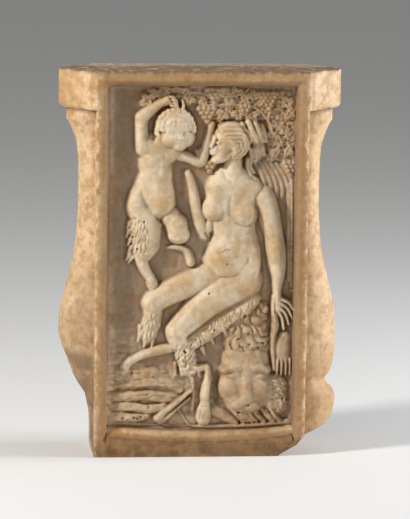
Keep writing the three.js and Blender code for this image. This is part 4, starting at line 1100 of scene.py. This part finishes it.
def maths(tree, operation, a, b=0.0, clamp=False):
    """One sum on two sockets or numbers."""
    made = tree.nodes.new("ShaderNodeMath")
    made.operation = operation
    made.use_clamp = clamp
    for index, value in ((0, a), (1, b)):
        if isinstance(value, bpy.types.NodeSocket):
            link(tree, value, made.inputs[index])
        else:
            made.inputs[index].default_value = value
    return made.outputs[0]


def ramp(tree, factor, low, high):
    """A factor stretched from low..high to 0..1."""
    made = tree.nodes.new("ShaderNodeMapRange")
    made.interpolation_type = "SMOOTHSTEP"
    link(tree, factor, made.inputs[0])
    made.inputs[1].default_value = low
    made.inputs[2].default_value = high
    return made.outputs[0]


def noise_group():
    """A shared group: noise of a given grain on object coordinates, stretched along z, spread to 0..1."""
    group = bpy.data.node_groups.new("marble_grain", "ShaderNodeTree")
    for name, value in (("Scale", 40.0), ("Detail", 5.0), ("Squash", 1.0)):
        socket = group.interface.new_socket(name=name, in_out="INPUT", socket_type="NodeSocketFloat")
        socket.default_value = value
    group.interface.new_socket(name="Grain", in_out="OUTPUT", socket_type="NodeSocketFloat")
    enter, leave = group.nodes.new("NodeGroupInput"), group.nodes.new("NodeGroupOutput")
    where = group.nodes.new("ShaderNodeTexCoord")
    stretch = group.nodes.new("ShaderNodeCombineXYZ")
    stretch.inputs[0].default_value = 1.0
    stretch.inputs[1].default_value = 1.0
    link(group, enter.outputs["Squash"], stretch.inputs[2])
    scaled = group.nodes.new("ShaderNodeVectorMath")
    scaled.operation = "MULTIPLY"
    link(group, where.outputs["Object"], scaled.inputs[0])
    link(group, stretch.outputs[0], scaled.inputs[1])
    grain = group.nodes.new("ShaderNodeTexNoise")
    grain.inputs["Roughness"].default_value = 0.6
    link(group, scaled.outputs[0], grain.inputs["Vector"])
    link(group, enter.outputs["Scale"], grain.inputs["Scale"])
    link(group, enter.outputs["Detail"], grain.inputs["Detail"])
    spread = ramp(group, grain.outputs[0], 0.28, 0.72)
    link(group, spread, leave.inputs["Grain"])
    return group


def marble_material(group, stain_strength, dirt_and_shade_strength):
    """Warm aged marble: ivory figures on a taupe ground, ochre stains, settled soiling, and painted shade
    in the hollows, under overhangs, on the frame's inner bevels and, in part, over the front face.
    """
    material = bpy.data.materials.new("patinated_marble")
    material.use_nodes = True
    tree = material.node_tree
    shader = tree.nodes["Principled BSDF"]

    def grain(scale, detail=5.0, squash=1.0):
        made = tree.nodes.new("ShaderNodeGroup")
        made.node_tree = group
        made.inputs["Scale"].default_value = scale
        made.inputs["Detail"].default_value = detail
        made.inputs["Squash"].default_value = squash
        return made.outputs["Grain"]

    def stored(name):
        made = tree.nodes.new("ShaderNodeAttribute")
        made.attribute_name = name
        return made.outputs["Fac"]

    ivory, ground, dirt_and_shade, wear = stored("ivory"), stored("ground"), stored("dirt_and_shade"), stored("wear")
    clouds, streaks, fine = grain(11), grain(16, 6, 0.3), grain(130, 4)
    colour = mixed(tree, (0.62, 0.39, 0.19, 1), (0.74, 0.54, 0.33, 1), clouds)
    # The front face's darker ochre is partly the marble's own tone and partly painted shade, for a face
    # less lit than the sides.
    frame_tone_and_shade = mixed(tree, (0.42, 0.225, 0.09, 1), (0.56, 0.36, 0.18, 1), clouds)
    colour = mixed(tree, colour, frame_tone_and_shade, stored("face"))
    colour = mixed(tree, colour, (0.42, 0.22, 0.08, 1),
                   maths(tree, "MULTIPLY", ramp(tree, streaks, 0.45, 1.0), 0.55))
    relief_tone = mixed(tree, (0.64, 0.50, 0.34, 1), (0.50, 0.34, 0.19, 1), clouds)
    colour = mixed(tree, colour, relief_tone, stored("relief"))
    colour = mixed(tree, colour, mixed(tree, (0.52, 0.40, 0.28, 1), (0.33, 0.235, 0.15, 1), streaks),
                   ground)
    flesh_tone = mixed(tree, (0.80, 0.66, 0.47, 1), (0.62, 0.45, 0.26, 1),
                       ramp(tree, grain(26, 7), 0.25, 0.9))
    colour = mixed(tree, colour, flesh_tone, maths(tree, "MULTIPLY", ivory, 0.8))
    stained = maths(tree, "MULTIPLY", stored("stain"),
                    maths(tree, "MULTIPLY", ramp(tree, grain(34, 6), 0.2, 0.8), stain_strength))
    colour = mixed(tree, colour, (0.58, 0.34, 0.13, 1), stained)
    # Dark colour low on the front and on the broken foot, with painted shade on the frame's inner bevels.
    brown_and_bevel_shade = maths(tree, "MULTIPLY", stored("brown_and_bevel_shade"), ramp(tree, grain(24, 6), -0.3, 0.6))
    colour = mixed(tree, colour, (0.10, 0.05, 0.022, 1), maths(tree, "MULTIPLY", brown_and_bevel_shade, 0.9))
    pitted = maths(tree, "MULTIPLY", ramp(tree, grain(260, 5), 0.62, 0.9), ramp(tree, grain(14), 0.35, 0.8))
    pitted = maths(tree, "MULTIPLY", pitted, maths(tree, "SUBTRACT", 1.0, ivory))
    colour = mixed(tree, colour, (0.36, 0.19, 0.08, 1), maths(tree, "MULTIPLY", pitted, 0.55))
    # Soiling and painted shade: hollows, creases, the ground along the frame, the wings under the slab and
    # the line under the ledge are darkened.
    dirt_and_shade_amount = maths(tree, "MULTIPLY", maths(tree, "POWER", dirt_and_shade, 0.8), dirt_and_shade_strength, True)
    colour = mixed(tree, colour, (0.13, 0.075, 0.04, 1), dirt_and_shade_amount)
    pale = maths(tree, "MULTIPLY", wear, ramp(tree, grain(60, 5), 0.15, 0.7))
    colour = mixed(tree, colour, (0.82, 0.67, 0.46, 1), maths(tree, "MULTIPLY", pale, 0.7))
    top = mixed(tree, (0.20, 0.13, 0.08, 1), (0.52, 0.42, 0.30, 1), ramp(tree, grain(70, 6), 0.55, 0.95))
    colour = mixed(tree, colour, top, stored("rough_top"))
    colour = mixed(tree, colour, (0.54, 0.45, 0.34, 1), maths(tree, "MULTIPLY", stored("back"), 0.6))
    mottled = maths(tree, "MULTIPLY", ramp(tree, grain(75, 8), 0.35, 0.95),
                    maths(tree, "SUBTRACT", 1.0, ivory))
    colour = mixed(tree, colour, (0.40, 0.21, 0.075, 1), maths(tree, "MULTIPLY", mottled, 0.6))
    shade = mixed(tree, (0.88, 0.87, 0.86, 1), (1.07, 1.07, 1.07, 1), fine)
    colour = mixed(tree, colour, shade, 1.0, "MULTIPLY")
    link(tree, colour, shader.inputs["Base Color"])
    polish = tree.nodes.new("ShaderNodeMapRange")
    link(tree, fine, polish.inputs[0])
    polish.inputs[3].default_value = 0.46
    polish.inputs[4].default_value = 0.66
    link(tree, polish.outputs[0], shader.inputs["Roughness"])
    shader.inputs["Subsurface Weight"].default_value = 0.08
    shader.inputs["Subsurface Radius"].default_value = (0.006, 0.004, 0.0025)
    shader.inputs["Subsurface Scale"].default_value = 1.0
    shader.inputs["Specular IOR Level"].default_value = 0.4
    bump = tree.nodes.new("ShaderNodeBump")
    bump.inputs["Strength"].default_value = 0.35
    bump.inputs["Distance"].default_value = 0.0008
    relief = maths(tree, "SUBTRACT", maths(tree, "MULTIPLY", fine, 0.5), pitted)
    link(tree, relief, bump.inputs["Height"])
    link(tree, bump.outputs[0], shader.inputs["Normal"])
    return material


# ------------------------------------------------------------------ stage, in metres

MIDDLE = (0, 0, 0.28)
KEY_PLACE, FILL_PLACE = (-2.0, -0.95, 1.75), (2.3, -0.15, 1.0)
FLOOR_SIZE, FLOOR_PLACE = 12.0, (0, 2.0, 0)
SKY_STRENGTH = 0.26
CAMERA_PLACE, CAMERA_TARGET = (-0.5275, -5.1923, 1.0976), (0.00433, -0.058, 0.2889)
CAMERA_ROLL = math.radians(0.767)


# ------------------------------------------------------------------ add-on

class PierSettings(bpy.types.PropertyGroup):
    face_limit: bpy.props.IntProperty(
        name="Triangles", description="Most triangles that the carved block keeps", default=190000,
        min=20000)
    crease_angle: bpy.props.FloatProperty(
        name="Crease angle", description="Edges sharper than this stay sharp", default=math.radians(55),
        unit="ROTATION")
    stain: bpy.props.FloatProperty(
        name="Ochre stain", description="Strength of the ochre stains on the figures", default=0.75, min=0,
        max=1,
        subtype="FACTOR")
    # Strength of the settled soiling and of the painted shade in hollows and under overhangs.
    dirt_and_shade: bpy.props.FloatProperty(
        name="Soiling and painted shade", description="Strength of the settled soiling and painted shade in hollows, creases and under overhangs", default=0.85, min=0,
        max=1,
        subtype="FACTOR")


class StageSettings(bpy.types.PropertyGroup):
    lens: bpy.props.FloatProperty(
        name="Lens", description="Focal length on a sensor 36 mm long", default=252.6, unit="CAMERA")
    key: bpy.props.FloatProperty(
        name="Key light", description="Power of the soft light from the upper left", default=58.0,
        unit="POWER")
    fill: bpy.props.FloatProperty(
        name="Fill light", description="Power of the wide light from the right", default=58.0, unit="POWER")


def deselect():
    for chosen in bpy.context.selected_objects:
        chosen.select_set(False)


class PIER_OT_block(bpy.types.Operator):
    """Carve the marble block with its relief, wings and top slab"""

    bl_idname = "pier.block"
    bl_label = "Carve the block"

    def execute(self, context):
        settings = context.scene.pier
        deselect()
        heights, figure = carve()
        block = Block(heights)
        rings = block.rings()
        bpy.ops.mesh.primitive_grid_add(x_subdivisions=len(rings[0]), y_subdivisions=len(rings) + 1,
                                        size=1.0)
        piece = context.active_object
        piece.name = PIECE
        mesh = piece.data
        mesh.name = PIECE
        set_points(mesh, weather(wrapped(mesh, rings), HEIGHT))
        bpy.ops.object.mode_set(mode="EDIT")
        bpy.ops.mesh.select_all(action="SELECT")
        bpy.ops.mesh.remove_doubles(threshold=SEAM_GAP)
        bpy.ops.mesh.normals_make_consistent(inside=False)
        bpy.ops.object.mode_set(mode="OBJECT")
        faces = sum(len(face.vertices) - 2 for face in mesh.polygons)
        thin = piece.modifiers.new("thin", "DECIMATE")
        thin.ratio = min(1.0, settings.face_limit / faces)
        bpy.ops.object.modifier_apply(modifier=thin.name)
        bpy.ops.object.shade_smooth_by_angle(angle=settings.crease_angle)
        paint(piece.data, heights, figure)
        piece.data.materials.clear()
        piece.data.materials.append(marble_material(noise_group(), settings.stain, settings.dirt_and_shade))
        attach(piece, "root")
        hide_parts(NODE)
        return {"FINISHED"}


def area_light(name, place, towards, size, power, colour):
    """A soft round lamp that looks at a place."""
    bpy.ops.object.light_add(type="AREA", location=place)
    light = bpy.context.active_object
    light.name = name
    light.data.shape = "DISK"
    light.data.size = size
    light.data.energy = power
    light.data.color = colour
    light.rotation_euler = (Vector(towards) - Vector(place)).to_track_quat("-Z", "Y").to_euler()
    return light


class PIER_OT_stage(bpy.types.Operator):
    """Set a pale floor, the studio lights and the camera"""

    bl_idname = "pier.stage"
    bl_label = "Set the stage"

    def execute(self, context):
        settings = context.scene.pier_stage
        deselect()
        bpy.ops.mesh.primitive_plane_add(size=FLOOR_SIZE, location=FLOOR_PLACE)
        floor = context.active_object
        floor.name = "floor"
        paper = bpy.data.materials.new("paper")
        paper.use_nodes = True
        paper_shader = paper.node_tree.nodes["Principled BSDF"]
        paper_shader.inputs["Base Color"].default_value = (0.80, 0.80, 0.79, 1)
        paper_shader.inputs["Roughness"].default_value = 0.95
        floor.data.materials.append(paper)
        area_light("key", KEY_PLACE, MIDDLE, 0.4, settings.key, (1.0, 0.97, 0.93))
        area_light("fill", FILL_PLACE, MIDDLE, 0.9, settings.fill, (0.93, 0.96, 1.0))
        world = context.scene.world or bpy.data.worlds.new("studio")
        context.scene.world = world
        world.use_nodes = True
        sky = world.node_tree.nodes["Background"]
        sky.inputs[0].default_value = (1, 1, 1, 1)
        sky.inputs[1].default_value = SKY_STRENGTH
        bpy.ops.object.camera_add(location=CAMERA_PLACE)
        camera = context.active_object
        camera.name = "camera"
        look = (Vector(CAMERA_TARGET) - Vector(CAMERA_PLACE)).to_track_quat("-Z", "Y")
        camera.rotation_mode = "QUATERNION"
        camera.rotation_quaternion = look @ Quaternion((0, 0, 1), CAMERA_ROLL)
        camera.data.sensor_width = 36.0
        camera.data.lens = settings.lens
        camera.data.clip_start, camera.data.clip_end = 0.1, 40.0
        context.scene.camera = camera
        context.scene.view_settings.view_transform = "Standard"
        return {"FINISHED"}


class PIER_PT_panel(bpy.types.Panel):
    bl_label = "Marble pier"
    bl_idname = "PIER_PT_panel"
    bl_space_type = "VIEW_3D"
    bl_region_type = "UI"
    bl_category = "Marble pier"

    def draw(self, context):
        layout = self.layout
        for name, operator in (("pier", "pier.block"), ("pier_stage", "pier.stage")):
            box = layout.box()
            settings = getattr(context.scene, name)
            for key in settings.__annotations__:
                box.prop(settings, key)
            box.operator(operator)


CLASSES = (PierSettings, StageSettings, PIER_OT_block, PIER_OT_stage, PIER_PT_panel)


def register():
    for cls in CLASSES:
        bpy.utils.register_class(cls)
    bpy.types.Scene.pier = bpy.props.PointerProperty(type=PierSettings)
    bpy.types.Scene.pier_stage = bpy.props.PointerProperty(type=StageSettings)


def unregister():
    del bpy.types.Scene.pier_stage
    del bpy.types.Scene.pier
    for cls in reversed(CLASSES):
        bpy.utils.unregister_class(cls)


def main():
    register()
    bpy.ops.pier.block()
    bpy.ops.pier.stage()


if __name__ == "__main__":
    main()
